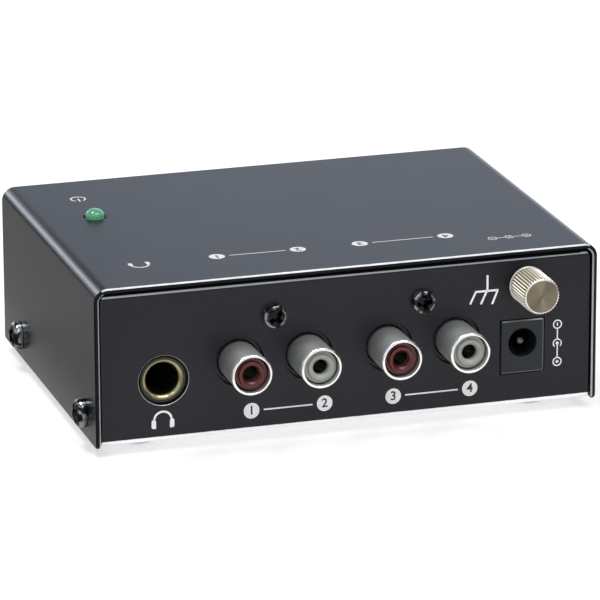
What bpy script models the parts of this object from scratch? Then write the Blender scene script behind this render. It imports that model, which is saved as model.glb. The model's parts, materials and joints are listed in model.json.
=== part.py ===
"""Small headphone amplifier in a folded sheet-steel case, modelled piece by piece.

The connector side faces -Y, +Z is up and the case stands on four rubber feet at Z = 0.
The origin is the centre of the outer box, at the underside of the feet.
All values are in metres.
"""

from math import cos, pi, radians, sin

import bmesh
import bpy
from mathutils import Matrix, Vector

# Shared clearances
FIT_GAP = 0.0003
OVERRUN = 0.002

# Folded sheet-steel case
CASE_WIDTH = 0.104
CASE_DEPTH = 0.075
CASE_HEIGHT = 0.0328
SHEET = 0.001
COVER_BEND = 0.0028
COVER_CORNER = 0.001
CHASSIS_BEND = 0.00175
LIP_BEND = 0.0013
LIP_WIDTH = 0.005
PANEL_RECESS = 0.0007
PANEL_CORNER = 0.0018
FLANGE_HEIGHT = 0.0085
BEND_RELIEF = 0.002

# Stick-on feet
FOOT_HEIGHT = 0.002
FOOT_DIAMETER = 0.008
FOOT_EDGE = 0.0006
FOOT_INSET = 0.011

# Screws: head and shank of each kind
COVER_HEAD_DIAMETER = 0.0058
COVER_HEAD_HEIGHT = 0.0019
COVER_SHANK_DIAMETER = 0.0029
COVER_SCREW_LENGTH = 0.006
COVER_SCREW_HEIGHT = 0.0049
COVER_SCREW_FRONT = 0.0093
COVER_SCREW_REAR = 0.0138
PANEL_HEAD_DIAMETER = 0.0048
PANEL_HEAD_HEIGHT = 0.0017
PANEL_SHANK_DIAMETER = 0.0026
PANEL_SCREW_LENGTH = 0.007
BOARD_HEAD_DIAMETER = 0.005
BOARD_HEAD_HEIGHT = 0.0016
BOARD_SHANK_DIAMETER = 0.0026
CROSS_SPAN_SHARE = 0.62
CROSS_SLOT_SHARE = 0.17
CROSS_DEPTH_SHARE = 0.55
HEAD_DOME_SHARES = ((0.55, 0.95), (0.85, 0.72), (1.0, 0.3))

# Circuit board and its pillars
BOARD_SIDE_ROOM = 0.008
BOARD_THICKNESS = 0.0016
BOARD_TOP_HEIGHT = 0.0067
BOARD_MARGIN = 0.0012
PILLAR_DIAMETER = 0.0052
PILLAR_SPIGOT = 0.003
PILLAR_FLOOR = 0.0006
FRONT_PILLAR_SHARE = 0.24
FRONT_PILLAR_SETBACK = 0.019
REAR_PILLAR_SHARE = 0.28
REAR_PILLAR_SETBACK = 0.006

# Headphone socket for a 6.35 mm plug
JACK_PLACE_SHARE = -0.3654
JACK_AXIS_HEIGHT = 0.0058
JACK_BODY_WIDTH = 0.0118
JACK_BODY_DEPTH = 0.027
JACK_BORE = 0.0066
JACK_HOLE = 0.0102
FERRULE_DIAMETER = 0.0081
FERRULE_BORE = 0.0064
FERRULE_MOUTH = 0.0074
FERRULE_MOUTH_DEPTH = 0.0007
FERRULE_INSET = 0.0008
FERRULE_SEAT = 0.004
FERRULE_ROUND = 0.0003

# Sprung contact leaves of the headphone socket
LEAF_THICKNESS = 0.0003
LEAF_WIDTH = 0.003
LEAF_LENGTH = 0.009
LEAF_STANDOFF = 0.0043
LEAF_REACH = 0.0026
LEAF_RAMP = 0.0016
LEAF_TAIL = 0.0016
LEAF_SWING = 0.001
TIP_LEAF_SETBACK = 0.024
RING_LEAF_SETBACK = 0.018

# Twin phono sockets
TWIN_PLACE_SHARE = 0.1481
TWIN_PITCH = 0.0142
TWIN_AXIS_HEIGHT = 0.0081
TWIN_WALL = 0.0013
TWIN_DEPTH = 0.010
TWIN_SHOULDER = 0.0055
TOWER_WIDTH = 0.0082
TOWER_HEIGHT = 0.0035
PANEL_SCREW_DROP = 0.0088
SOCKET_REACH = 0.009
SOCKET_HOLE = 0.010
SHELL_LIP = 0.0083
SHELL_BARREL = 0.0081
SHELL_WALL = 0.0005
SHELL_LIP_LENGTH = 0.0007
SHELL_ROUND = 0.0004
SHELL_SEAT = 0.0055
CORE_DIAMETER = 0.0062
CORE_BORE = 0.0036
CORE_RECESS = 0.0004
CORE_NOSE = 0.0016
CORE_CHAMFER = 0.0004
CORE_FLANGE = 0.0015
CONTACT_DIAMETER = 0.0041
CONTACT_BORE = 0.0033
CONTACT_FLOOR = 0.001
CONTACT_TAIL = 0.001
CONTACT_TAIL_LENGTH = 0.0015

# Power inlet
INLET_PLACE_SHARE = 0.3505
INLET_WIDTH = 0.009
INLET_HEIGHT = 0.011
INLET_DEPTH = 0.0142
INLET_PROUD = 0.0002
INLET_BEVEL = 0.0003
INLET_AXIS_HEIGHT = 0.0063
INLET_BORE = 0.0057
INLET_BORE_DEPTH = 0.0095
INLET_PIN = 0.002
INLET_PIN_RECESS = 0.001
INLET_PIN_SEAT = 0.003
INLET_SPRING_DROP = 0.0036
INLET_SPRING_REACH = 0.0024
INLET_SPRING_RAMP = 0.0014
INLET_SPRING_LENGTH = 0.006
INLET_SPRING_WIDTH = 0.0026
INLET_SLOT_FLOOR = 0.0012

# Earth terminal
EARTH_PLACE_SHARE = 0.3587
EARTH_DROP = 0.0074
EARTH_REACH = 0.009
KNOB_DIAMETER = 0.0076
KNOB_COLLAR = 0.0062
KNOB_COLLAR_LENGTH = 0.0008
KNOB_CHAMFER = 0.0005
KNOB_DIMPLE = 0.0008
KNOB_DIMPLE_DEPTH = 0.0003
KNURL_DEPTH = 0.00025
KNURL_COUNT = 24
EARTH_SHANK = 0.0039
EARTH_SHANK_LENGTH = 0.0085
EARTH_THREAD_GAP = 0.0003
WASHER_DIAMETER = 0.0082
WASHER_THICKNESS = 0.0005
BUSH_SPIGOT = 0.0056
BUSH_FLANGE = 0.0088
BUSH_FLANGE_THICKNESS = 0.0012
BUSH_BODY = 0.0062
BUSH_LENGTH = 0.0055
NUT_FLATS = 0.009
NUT_THICKNESS = 0.0022
LUG_DIAMETER = 0.0092
LUG_THICKNESS = 0.0006
LUG_TAIL_WIDTH = 0.003
LUG_TAIL_LENGTH = 0.0085
WIRE_DIAMETER = 0.0014
WIRE_SIDE_STEP = 0.0078
WIRE_LANDING_SETBACK = 0.0175
WIRE_ROUTE_SHARES = (
    (0.0, 0.0, 0.0),
    (0.18, 0.02, 0.0),
    (0.45, 0.1, 0.12),
    (0.75, 0.35, 0.32),
    (0.97, 0.7, 0.6),
    (1.0, 0.9, 0.84),
    (1.0, 1.0, 1.0),
)

# Power light
LED_PLACE_SHARE = -0.374
LED_SETBACK = 0.0486
LED_DIAMETER = 0.0039
LED_RIM = 0.0047
LED_RIM_THICKNESS = 0.0008
LED_STANDING = 0.0017
LED_LEAD = 0.0005
LED_LEAD_SPREAD = 0.0009
LED_LEAD_LENGTH = 0.004
SPACER_WALL = 0.0007
SPACER_BORE = 0.0034

# Parts on the board
CHIP_LENGTH = 0.0098
CHIP_WIDTH = 0.0064
CHIP_HEIGHT = 0.0034
CHIP_STANDOFF = 0.0006
CHIP_LEG = 0.0005
CHIP_LEG_PITCH = 0.00254
CHIP_LEG_SPREAD = 0.0004
CHIP_LEGS = 4
CHIP_PLACE_SHARE = 0.13
CHIP_SETBACK = 0.028
CAN_DIAMETER = 0.008
CAN_HEIGHT = 0.0125
CAN_GROOVE = 0.0004
CAN_PLACE_SHARE = 0.096
CAN_SPACING = 0.011
CAN_SETBACK = 0.044
REGULATOR_PLACE_SHARE = 0.288
REGULATOR_SETBACK = 0.046
REGULATOR_WIDTH = 0.0102
REGULATOR_BODY = 0.0044
REGULATOR_HEIGHT = 0.009
REGULATOR_TAB = 0.0013
REGULATOR_TAB_RISE = 0.0062
REGULATOR_TAB_HOLE = 0.0036
REGULATOR_LEG = 0.0008
REGULATOR_LEG_LENGTH = 0.003
REGULATOR_LEG_PITCH = 0.00254

# Facets of round pieces
SIDES = 24
SMALL_SIDES = 16
TINY_SIDES = 10
BEND_STEPS = 4

# Places that follow from the sizes above
REACH = max(SOCKET_REACH, EARTH_REACH) - PANEL_RECESS
FRONT_Y = (REACH - CASE_DEPTH) / 2
PANEL_Y = FRONT_Y + PANEL_RECESS
PANEL_BACK = PANEL_Y + SHEET
REAR_Y = FRONT_Y + CASE_DEPTH
REAR_PANEL_Y = REAR_Y - PANEL_RECESS
REAR_PANEL_BACK = REAR_PANEL_Y - SHEET
HALF_WIDTH = CASE_WIDTH / 2
CHASSIS_HALF = HALF_WIDTH - SHEET - FIT_GAP
BASE_Z = FOOT_HEIGHT + FIT_GAP
FLOOR_Z = BASE_Z + SHEET
TOP_Z = BASE_Z + CASE_HEIGHT
ROOF_Z = TOP_Z - SHEET
BOARD_TOP = BASE_Z + BOARD_TOP_HEIGHT
BOARD_BOTTOM = BOARD_TOP - BOARD_THICKNESS
SEAT_Z = BOARD_TOP + FIT_GAP
MOUNT_Y = PANEL_BACK + FIT_GAP
BOARD_HALF = HALF_WIDTH - BOARD_SIDE_ROOM
JACK_X = CASE_WIDTH * JACK_PLACE_SHARE
TWIN_X = CASE_WIDTH * TWIN_PLACE_SHARE
INLET_X = CASE_WIDTH * INLET_PLACE_SHARE
EARTH_X = CASE_WIDTH * EARTH_PLACE_SHARE
LED_X = CASE_WIDTH * LED_PLACE_SHARE
CHIP_X = CASE_WIDTH * CHIP_PLACE_SHARE
CAN_X = CASE_WIDTH * CAN_PLACE_SHARE
REGULATOR_X = CASE_WIDTH * REGULATOR_PLACE_SHARE
FRONT_PILLAR_X = CASE_WIDTH * FRONT_PILLAR_SHARE
REAR_PILLAR_X = CASE_WIDTH * REAR_PILLAR_SHARE
TWIN_POCKET = SHELL_BARREL + 2 * FIT_GAP
TWIN_WIDTH = TWIN_PITCH + TWIN_POCKET + 2 * TWIN_WALL
JACK_Z = SEAT_Z + JACK_AXIS_HEIGHT
TWIN_Z = SEAT_Z + TWIN_AXIS_HEIGHT
INLET_Z = SEAT_Z + INLET_AXIS_HEIGHT
EARTH_Z = TOP_Z - EARTH_DROP
LED_Y = FRONT_Y + LED_SETBACK
COVER_SCREW_Z = BASE_Z + COVER_SCREW_HEIGHT
COVER_SCREW_HOLE = COVER_SHANK_DIAMETER + 2 * FIT_GAP
PANEL_SCREW_HOLE = PANEL_SHANK_DIAMETER + 2 * FIT_GAP
BOARD_SCREW_HOLE = BOARD_SHANK_DIAMETER + 2 * FIT_GAP
PANEL_SCREW_Z = TOP_Z - PANEL_SCREW_DROP
BUSH_BORE = EARTH_SHANK + 2 * EARTH_THREAD_GAP

# Turns that carry a piece modelled along +Z onto the axis it really has
FACING_FRONT = Matrix.Rotation(pi / 2, 4, "X")
FACING_LEFT = Matrix.Rotation(-pi / 2, 4, "Y")
FACING_RIGHT = Matrix.Rotation(pi / 2, 4, "Y")
FACING_UP = Matrix.Identity(4)


def clear_scene():
    for item in list(bpy.data.objects):
        bpy.data.objects.remove(item, do_unlink=True)


def finish(name, colour, roughness, metallic):
    """One Principled material for one kind of piece."""
    paint = bpy.data.materials.new(name)
    paint.use_nodes = True
    shader = paint.node_tree.nodes["Principled BSDF"]
    shader.inputs["Base Color"].default_value = (*colour, 1.0)
    shader.inputs["Roughness"].default_value = roughness
    shader.inputs["Metallic"].default_value = metallic
    paint.diffuse_color = (*colour, 1.0)
    return paint


def add_object(name, shape, paint, place=None):
    """Turns a bmesh into a named object whose origin is at the given place."""
    bmesh.ops.recalc_face_normals(shape, faces=shape.faces)
    mesh = bpy.data.meshes.new(name)
    shape.to_mesh(mesh)
    shape.free()
    mesh.shade_smooth()
    mesh.set_sharp_from_angle(angle=radians(35))
    mesh.materials.append(paint)
    item = bpy.data.objects.new(name, mesh)
    bpy.context.scene.collection.objects.link(item)
    if place is not None:
        item.matrix_world = place
    return item


def add_copy(name, original, place):
    """A repeated piece: its own object on the first one's mesh."""
    item = bpy.data.objects.new(name, original.data)
    bpy.context.scene.collection.objects.link(item)
    item.matrix_world = place
    for modifier in original.modifiers:
        twin = item.modifiers.new(modifier.name, "BOOLEAN")
        twin.operation = modifier.operation
        twin.solver = modifier.solver
        twin.object = add_guide(name + "_guide", modifier.object.data.copy(), place)
    return item


def add_guide(name, mesh, place):
    """A shape that only cuts or joins: it is left out of the part."""
    guide = bpy.data.objects.new(name, mesh)
    bpy.context.scene.collection.objects.link(guide)
    guide.hide_render = True
    guide.display_type = "WIRE"
    if place is not None:
        guide.matrix_world = place
    return guide


def combine(item, shapes, operation, place=None):
    """Cuts separate shapes out of an object, or joins them onto it."""
    whole = bmesh.new()
    for shape in shapes:
        bmesh.ops.recalc_face_normals(shape, faces=shape.faces)
        part = bpy.data.meshes.new("shape")
        shape.to_mesh(part)
        shape.free()
        whole.from_mesh(part)
        bpy.data.meshes.remove(part)
    mesh = bpy.data.meshes.new(item.name + "_guide")
    whole.to_mesh(mesh)
    whole.free()
    guide = add_guide(item.name + "_guide", mesh, place)
    modifier = item.modifiers.new(operation.lower(), "BOOLEAN")
    modifier.operation = operation
    modifier.solver = "EXACT"
    modifier.object = guide


def cut(item, shapes, place=None):
    combine(item, shapes, "DIFFERENCE", place)


def join(item, shapes, place=None):
    combine(item, shapes, "UNION", place)


def at(x, y, z, turn=FACING_UP):
    return Matrix.Translation((x, y, z)) @ turn


def turned(profile, sides, ring=False):
    """A lathe shape round Z. Each profile point is radius, height and an optional rib depth."""
    shape = bmesh.new()
    loops = []
    for point in profile:
        radius, height = point[0], point[1]
        rib = point[2] if len(point) > 2 else 0
        if radius == 0:
            loops.append([shape.verts.new((0, 0, height))])
            continue
        loop = []
        for index in range(sides):
            angle = 2 * pi * index / sides
            reach = radius - rib * (index % 2)
            loop.append(shape.verts.new((reach * cos(angle), reach * sin(angle), height)))
        loops.append(loop)
    pairs = list(zip(loops, loops[1:]))
    if ring:
        pairs.append((loops[-1], loops[0]))
    for low, high in pairs:
        for index in range(sides):
            after = (index + 1) % sides
            if len(low) == 1:
                shape.faces.new((low[0], high[after], high[index]))
            elif len(high) == 1:
                shape.faces.new((low[index], low[after], high[0]))
            else:
                shape.faces.new((low[index], low[after], high[after], high[index]))
    bmesh.ops.recalc_face_normals(shape, faces=shape.faces)
    return shape


def prism(outline, low, high, along):
    """Extrudes a flat outline between two places on one axis."""
    orders = {
        "X": lambda u, v, t: (t, u, v),
        "Y": lambda u, v, t: (u, t, v),
        "Z": lambda u, v, t: (u, v, t),
    }
    order = orders[along]
    shape = bmesh.new()
    first = [shape.verts.new(order(u, v, low)) for u, v in outline]
    last = [shape.verts.new(order(u, v, high)) for u, v in outline]
    shape.faces.new(first)
    shape.faces.new(list(reversed(last)))
    for index, vertex in enumerate(first):
        after = (index + 1) % len(first)
        shape.faces.new((vertex, last[index], last[after], first[after]))
    bmesh.ops.recalc_face_normals(shape, faces=shape.faces)
    return shape


def block(low, high):
    outline = ((low[0], low[1]), (high[0], low[1]), (high[0], high[1]), (low[0], high[1]))
    return prism(outline, low[2], high[2], "Z")


def drill(x, y, z, diameter, start, end, turn, sides=SIDES):
    """A round cutter along the turned Z axis, from start to end."""
    radius = diameter / 2
    shape = turned(((0, start), (radius, start), (radius, end), (0, end)), sides)
    bmesh.ops.transform(shape, matrix=at(x, y, z, turn), verts=shape.verts)
    return shape


def counterbore(x, y, z, mouth, ledge, bore, end, sides=SIDES):
    """A stepped cutter from the front: a wide mouth down to a ledge, then a bore to its end."""
    profile = (
        (0, OVERRUN),
        (mouth / 2, OVERRUN),
        (mouth / 2, -ledge),
        (bore / 2, -ledge),
        (bore / 2, -end),
        (0, -end),
    )
    shape = turned(profile, sides)
    bmesh.ops.transform(shape, matrix=at(x, y, z, FACING_FRONT), verts=shape.verts)
    return shape


def rounded(points, radius, steps=BEND_STEPS):
    """An open path with an arc of one radius at each inner corner."""
    path = [Vector(points[0])]
    for before, corner, after in zip(points, points[1:], points[2:]):
        corner = Vector(corner)
        inward = (Vector(before) - corner).normalized()
        outward = (Vector(after) - corner).normalized()
        centre = corner + (inward + outward) * radius
        start = -outward
        finish_side = -inward
        for index in range(steps + 1):
            angle = pi / 2 * index / steps
            path.append(centre + (start * cos(angle) + finish_side * sin(angle)) * radius)
    path.append(Vector(points[-1]))
    return path


def bent_sheet(outer, radius, thickness):
    """The outline of a sheet folded at right angles, always to the same hand."""
    inner = []
    for index, point in enumerate(outer):
        shift = Vector((0, 0))
        if index > 0:
            run = (Vector(point) - Vector(outer[index - 1])).normalized()
            shift += Vector((-run.y, run.x))
        if index < len(outer) - 1:
            run = (Vector(outer[index + 1]) - Vector(point)).normalized()
            shift += Vector((-run.y, run.x))
        inner.append(Vector(point) + shift * thickness)
    outside = rounded(outer, radius)
    inside = rounded(inner, radius - thickness)
    return outside + list(reversed(inside))


def strip(points, thickness):
    """The outline of a thin bent strip that follows a path."""
    left, right = [], []
    for index, point in enumerate(points):
        before = Vector(points[max(index - 1, 0)])
        after = Vector(points[min(index + 1, len(points) - 1)])
        into = (Vector(point) - before).normalized()
        out = (after - Vector(point)).normalized()
        run = (into + out).normalized()
        normal = Vector((-run.y, run.x))
        reference = into if into.length > 0 else out
        side = Vector((-reference.y, reference.x))
        width = thickness / 2 / normal.dot(side)
        left.append(Vector(point) + normal * width)
        right.append(Vector(point) - normal * width)
    return left + list(reversed(right))


def cross(head, depth_from, depth_to):
    """The cross-shaped driver recess of a screw head."""
    span = head * CROSS_SPAN_SHARE / 2
    slot = head * CROSS_SLOT_SHARE / 2
    corners = ((slot, span), (slot, slot), (span, slot))
    outline = []
    for quarter in range(4):
        turn = Matrix.Rotation(-pi / 2 * quarter, 2)
        outline += [turn @ Vector(corner) for corner in corners]
    return prism(outline, depth_from, depth_to, "Z")


def screw(name, head, height, shank, length, paint, place):
    """A pan-head screw: its head stands on Z = 0 and its shank runs down."""
    profile = [(0, height)]
    for across, up in HEAD_DOME_SHARES:
        profile.append((head / 2 * across, height * up))
    profile += [(head / 2, 0), (shank / 2, 0), (shank / 2, -length), (0, -length)]
    item = add_object(name, turned(profile, SMALL_SIDES), paint, place)
    cut(item, [cross(head, height * (1 - CROSS_DEPTH_SHARE), height + OVERRUN)], place)
    return item


def copies(names, original, places):
    for name, place in zip(names, places):
        add_copy(name, original, place)


def make_cover(paint):
    """The inverted U that forms the top and both sides."""
    outer = (
        (HALF_WIDTH, BASE_Z),
        (HALF_WIDTH, TOP_Z),
        (-HALF_WIDTH, TOP_Z),
        (-HALF_WIDTH, BASE_Z),
    )
    shape = prism(bent_sheet(outer, COVER_BEND, SHEET), FRONT_Y, REAR_Y, "Y")
    corners = []
    for edge in shape.edges:
        first, second = edge.verts
        across = abs(first.co.x - second.co.x) > SHEET / 2
        low = max(first.co.z, second.co.z) < BASE_Z + SHEET / 2
        if across and low and abs(first.co.y - second.co.y) < SHEET / 2:
            corners.append(edge)
    bmesh.ops.bevel(shape, geom=corners, offset=COVER_CORNER, segments=3, affect="EDGES")
    cover = add_object("top_cover", shape, paint)
    depth = SHEET + OVERRUN
    cutters = [drill(LED_X, LED_Y, TOP_Z, LED_DIAMETER + 2 * FIT_GAP, -depth, OVERRUN, FACING_UP)]
    for x, y, turn in cover_screw_places():
        cutters.append(drill(x, y, COVER_SCREW_Z, COVER_SCREW_HOLE, -depth, OVERRUN, turn, SMALL_SIDES))
    cut(cover, cutters)


def cover_screw_places():
    """Wall point and direction of the four side screws."""
    for side, turn in ((-1, FACING_LEFT), (1, FACING_RIGHT)):
        for y in (FRONT_Y + COVER_SCREW_FRONT, REAR_Y - COVER_SCREW_REAR):
            yield side * HALF_WIDTH, y, turn


def panel_corner(side):
    """The waste outside one rounded upper corner of the end panels."""
    top = ROOF_Z - FIT_GAP
    tip_x = side * CHASSIS_HALF
    centre_x = side * (CHASSIS_HALF - PANEL_CORNER)
    centre_z = top - PANEL_CORNER
    outline = []
    for index in range(BEND_STEPS + 1):
        angle = pi / 2 * index / BEND_STEPS
        reach = side * PANEL_CORNER * cos(angle)
        outline.append((centre_x + reach, centre_z + PANEL_CORNER * sin(angle)))
    outline += [
        (centre_x, top + FIT_GAP),
        (tip_x + side * FIT_GAP, top + FIT_GAP),
        (tip_x + side * FIT_GAP, centre_z),
    ]
    return prism(outline, FRONT_Y, REAR_Y, "Y")


def make_chassis(paint):
    """Floor, connector panel, rear panel and the two screw flanges, folded from one sheet."""
    top = ROOF_Z - FIT_GAP
    tub = (
        (PANEL_Y, top - LIP_BEND),
        (PANEL_Y, BASE_Z),
        (REAR_PANEL_Y, BASE_Z),
        (REAR_PANEL_Y, top - LIP_BEND),
    )
    folded = prism(bent_sheet(tub, CHASSIS_BEND, SHEET), -CHASSIS_HALF, CHASSIS_HALF, "X")
    chassis = add_object("base_chassis", folded, paint)
    flange_low = PANEL_Y + CHASSIS_BEND + BEND_RELIEF
    flange_high = REAR_PANEL_Y - CHASSIS_BEND - BEND_RELIEF
    notch = CHASSIS_HALF - CHASSIS_BEND
    cut(chassis, [
        block((-CHASSIS_HALF - OVERRUN, flange_low - FIT_GAP, BASE_Z - OVERRUN),
              (-notch, flange_high + FIT_GAP, FLOOR_Z + OVERRUN)),
        block((notch, flange_low - FIT_GAP, BASE_Z - OVERRUN),
              (CHASSIS_HALF + OVERRUN, flange_high + FIT_GAP, FLOOR_Z + OVERRUN)),
    ])
    channel = (
        (-CHASSIS_HALF, BASE_Z + FLANGE_HEIGHT),
        (-CHASSIS_HALF, BASE_Z),
        (CHASSIS_HALF, BASE_Z),
        (CHASSIS_HALF, BASE_Z + FLANGE_HEIGHT),
    )
    join(chassis, [prism(bent_sheet(channel, CHASSIS_BEND, SHEET), flange_low, flange_high, "Y")])
    front_lip = (
        (PANEL_Y + LIP_WIDTH, top),
        (PANEL_Y, top),
        (PANEL_Y, top - 2 * LIP_BEND),
    )
    rear_lip = (
        (REAR_PANEL_Y, top - 2 * LIP_BEND),
        (REAR_PANEL_Y, top),
        (REAR_PANEL_Y - LIP_WIDTH, top),
    )
    join(chassis, [
        prism(bent_sheet(front_lip, LIP_BEND, SHEET), -CHASSIS_HALF, CHASSIS_HALF, "X"),
        prism(bent_sheet(rear_lip, LIP_BEND, SHEET), -CHASSIS_HALF, CHASSIS_HALF, "X"),
    ])
    cut(chassis, [panel_corner(-1), panel_corner(1)])
    cut(chassis, panel_holes() + floor_holes())
    cut(chassis, [inlet_window()])


def panel_holes():
    """Round holes in the connector panel."""
    depth = SHEET + OVERRUN
    holes = [drill(JACK_X, PANEL_Y, JACK_Z, JACK_HOLE, -depth, OVERRUN, FACING_FRONT)]
    for x in socket_places():
        holes.append(drill(x, PANEL_Y, TWIN_Z, SOCKET_HOLE, -depth, OVERRUN, FACING_FRONT))
    for side in (-1, 1):
        holes.append(drill(side * TWIN_X, PANEL_Y, PANEL_SCREW_Z, PANEL_SCREW_HOLE,
                           -depth, OVERRUN, FACING_FRONT, SMALL_SIDES))
    holes.append(drill(EARTH_X, PANEL_Y, EARTH_Z, BUSH_SPIGOT + 2 * FIT_GAP,
                       -depth, OVERRUN, FACING_FRONT, SMALL_SIDES))
    return holes


def inlet_window():
    """The window in the panel that the power inlet shows through."""
    reach = INLET_WIDTH / 2 + FIT_GAP
    return block((INLET_X - reach, PANEL_Y - OVERRUN, SEAT_Z - FIT_GAP),
                 (INLET_X + reach, PANEL_BACK + OVERRUN, SEAT_Z + INLET_HEIGHT + FIT_GAP))


def floor_holes():
    """Screw holes in both flanges and the pillars' holes in the floor."""
    holes = []
    inside = SHEET + FIT_GAP + SHEET + OVERRUN
    for x, y, turn in cover_screw_places():
        holes.append(drill(x, y, COVER_SCREW_Z, COVER_SCREW_HOLE, -inside, FIT_GAP - SHEET, turn,
                           SMALL_SIDES))
    for x, y in pillar_places():
        holes.append(drill(x, y, BASE_Z, PILLAR_SPIGOT + 2 * FIT_GAP, -OVERRUN, SHEET + OVERRUN,
                           FACING_UP, SMALL_SIDES))
    return holes


def pillar_places():
    front = PANEL_BACK + FRONT_PILLAR_SETBACK
    rear = REAR_PANEL_BACK - REAR_PILLAR_SETBACK
    return (
        (-FRONT_PILLAR_X, front),
        (FRONT_PILLAR_X, front),
        (-REAR_PILLAR_X, rear),
        (REAR_PILLAR_X, rear),
    )


def socket_places():
    """X of the four phono sockets, left to right."""
    for pair in (-TWIN_X, TWIN_X):
        for side in (-1, 1):
            yield pair + side * TWIN_PITCH / 2


def make_feet(paint):
    radius = FOOT_DIAMETER / 2
    profile = (
        (0, 0),
        (radius - FOOT_EDGE, 0),
        (radius, FOOT_EDGE),
        (radius, FOOT_HEIGHT),
        (0, FOOT_HEIGHT),
    )
    places = []
    for y in (FRONT_Y + FOOT_INSET, REAR_Y - FOOT_INSET):
        for x in (FOOT_INSET - HALF_WIDTH, HALF_WIDTH - FOOT_INSET):
            places.append(at(x, y, 0))
    names = ["foot_front_left", "foot_front_right", "foot_rear_left", "foot_rear_right"]
    first = add_object(names[0], turned(profile, SMALL_SIDES), paint, places[0])
    copies(names[1:], first, places[1:])


def make_cover_screws(paint):
    places = []
    for x, y, turn in cover_screw_places():
        gap = FIT_GAP if x > 0 else -FIT_GAP
        places.append(at(x + gap, y, COVER_SCREW_Z, turn))
    names = ["cover_screw_front_left", "cover_screw_rear_left", "cover_screw_front_right",
             "cover_screw_rear_right"]
    first = screw(names[0], COVER_HEAD_DIAMETER, COVER_HEAD_HEIGHT, COVER_SHANK_DIAMETER,
                  COVER_SCREW_LENGTH, paint, places[0])
    copies(names[1:], first, places[1:])


def make_board(paint):
    """The circuit board, with a hole over each pillar."""
    sheet = block((-BOARD_HALF, PANEL_BACK + BOARD_MARGIN, BOARD_BOTTOM),
                  (BOARD_HALF, REAR_PANEL_BACK - BOARD_MARGIN, BOARD_TOP))
    board = add_object("circuit_board", sheet, paint)
    depth = BOARD_THICKNESS + OVERRUN
    cut(board, [drill(x, y, BOARD_TOP, BOARD_SCREW_HOLE, -depth, OVERRUN, FACING_UP, SMALL_SIDES)
                for x, y in pillar_places()])


def make_pillars(metal, screw_metal):
    """Pressed-in threaded pillars and the screws that hold the board on them."""
    bore = BOARD_SCREW_HOLE / 2
    spigot = PILLAR_SPIGOT / 2
    radius = PILLAR_DIAMETER / 2
    foot = SHEET + FIT_GAP
    floor = foot + PILLAR_FLOOR
    top = BOARD_BOTTOM - FIT_GAP - BASE_Z
    profile = (
        (0, FIT_GAP),
        (spigot, FIT_GAP),
        (spigot, foot),
        (radius, foot),
        (radius, top),
        (bore, top),
        (bore, floor),
        (0, floor),
    )
    names = ["pillar_front_left", "pillar_front_right", "pillar_rear_left", "pillar_rear_right"]
    places = [at(x, y, BASE_Z) for x, y in pillar_places()]
    first = add_object(names[0], turned(profile, SMALL_SIDES), metal, places[0])
    copies(names[1:], first, places[1:])
    length = BOARD_THICKNESS + FIT_GAP + top - floor
    names = ["board_screw_front_left", "board_screw_front_right", "board_screw_rear_left",
             "board_screw_rear_right"]
    places = [at(x, y, SEAT_Z) for x, y in pillar_places()]
    first = screw(names[0], BOARD_HEAD_DIAMETER, BOARD_HEAD_HEIGHT, BOARD_SHANK_DIAMETER, length,
                  screw_metal, places[0])
    copies(names[1:], first, places[1:])


def leaf_path(length, stand, reach, ramp, tail):
    """Plan of a contact leaf: an anchored tail, a straight arm and a V-shaped tip.

    The first coordinate runs towards the mouth of the socket, the second away from its axis.
    """
    return (
        (0, stand + tail),
        (0, stand),
        (length - 2 * ramp, stand),
        (length - ramp, reach),
        (length, stand - LEAF_THICKNESS),
    )


def make_headphone_jack(plastic, gold, spring):
    """Moulded socket body, gilt ferrule and two sprung contacts."""
    half = JACK_BODY_WIDTH / 2
    shape = block((JACK_X - half, MOUNT_Y, SEAT_Z),
                  (JACK_X + half, MOUNT_Y + JACK_BODY_DEPTH, SEAT_Z + 2 * JACK_AXIS_HEIGHT))
    body = add_object("headphone_jack_body", shape, plastic)
    slot_half = LEAF_WIDTH / 2 + FIT_GAP
    seat = FERRULE_DIAMETER + 2 * FIT_GAP
    through = JACK_BODY_DEPTH + OVERRUN
    cut(body, [counterbore(JACK_X, MOUNT_Y, JACK_Z, seat, FERRULE_SEAT, JACK_BORE, through)])
    slots = []
    for side, setback in ((1, TIP_LEAF_SETBACK), (-1, RING_LEAF_SETBACK)):
        back = MOUNT_Y + setback + LEAF_THICKNESS / 2 + FIT_GAP
        front = MOUNT_Y + setback - LEAF_LENGTH - LEAF_SWING
        edges = sorted((JACK_X + side * LEAF_REACH, JACK_X + side * (half + OVERRUN)))
        slots.append(block((edges[0], front, JACK_Z - slot_half), (edges[1], back, JACK_Z + slot_half)))
    cut(body, slots)

    radius = FERRULE_DIAMETER / 2
    bore = FERRULE_BORE / 2
    mouth = FERRULE_MOUTH / 2
    front = MOUNT_Y - PANEL_Y - FERRULE_INSET
    back = FIT_GAP - FERRULE_SEAT
    profile = (
        (bore, back),
        (radius, back),
        (radius, front - FERRULE_ROUND),
        (radius - FERRULE_ROUND, front),
        (mouth, front),
        (bore, front - FERRULE_MOUTH_DEPTH),
    )
    add_object("headphone_jack_ferrule", turned(profile, SIDES, ring=True), gold,
               at(JACK_X, MOUNT_Y, JACK_Z, FACING_FRONT))

    for name, side, setback in (("headphone_tip_contact", 1, TIP_LEAF_SETBACK),
                                ("headphone_ring_contact", -1, RING_LEAF_SETBACK)):
        path = leaf_path(LEAF_LENGTH, LEAF_STANDOFF, LEAF_REACH, LEAF_RAMP, LEAF_TAIL)
        points = [(side * (away - LEAF_STANDOFF), -along) for along, away in path]
        shape = prism(strip(points, LEAF_THICKNESS), -LEAF_WIDTH / 2, LEAF_WIDTH / 2, "Z")
        add_object(name, shape, spring, at(JACK_X + side * LEAF_STANDOFF, MOUNT_Y + setback, JACK_Z))


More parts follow.
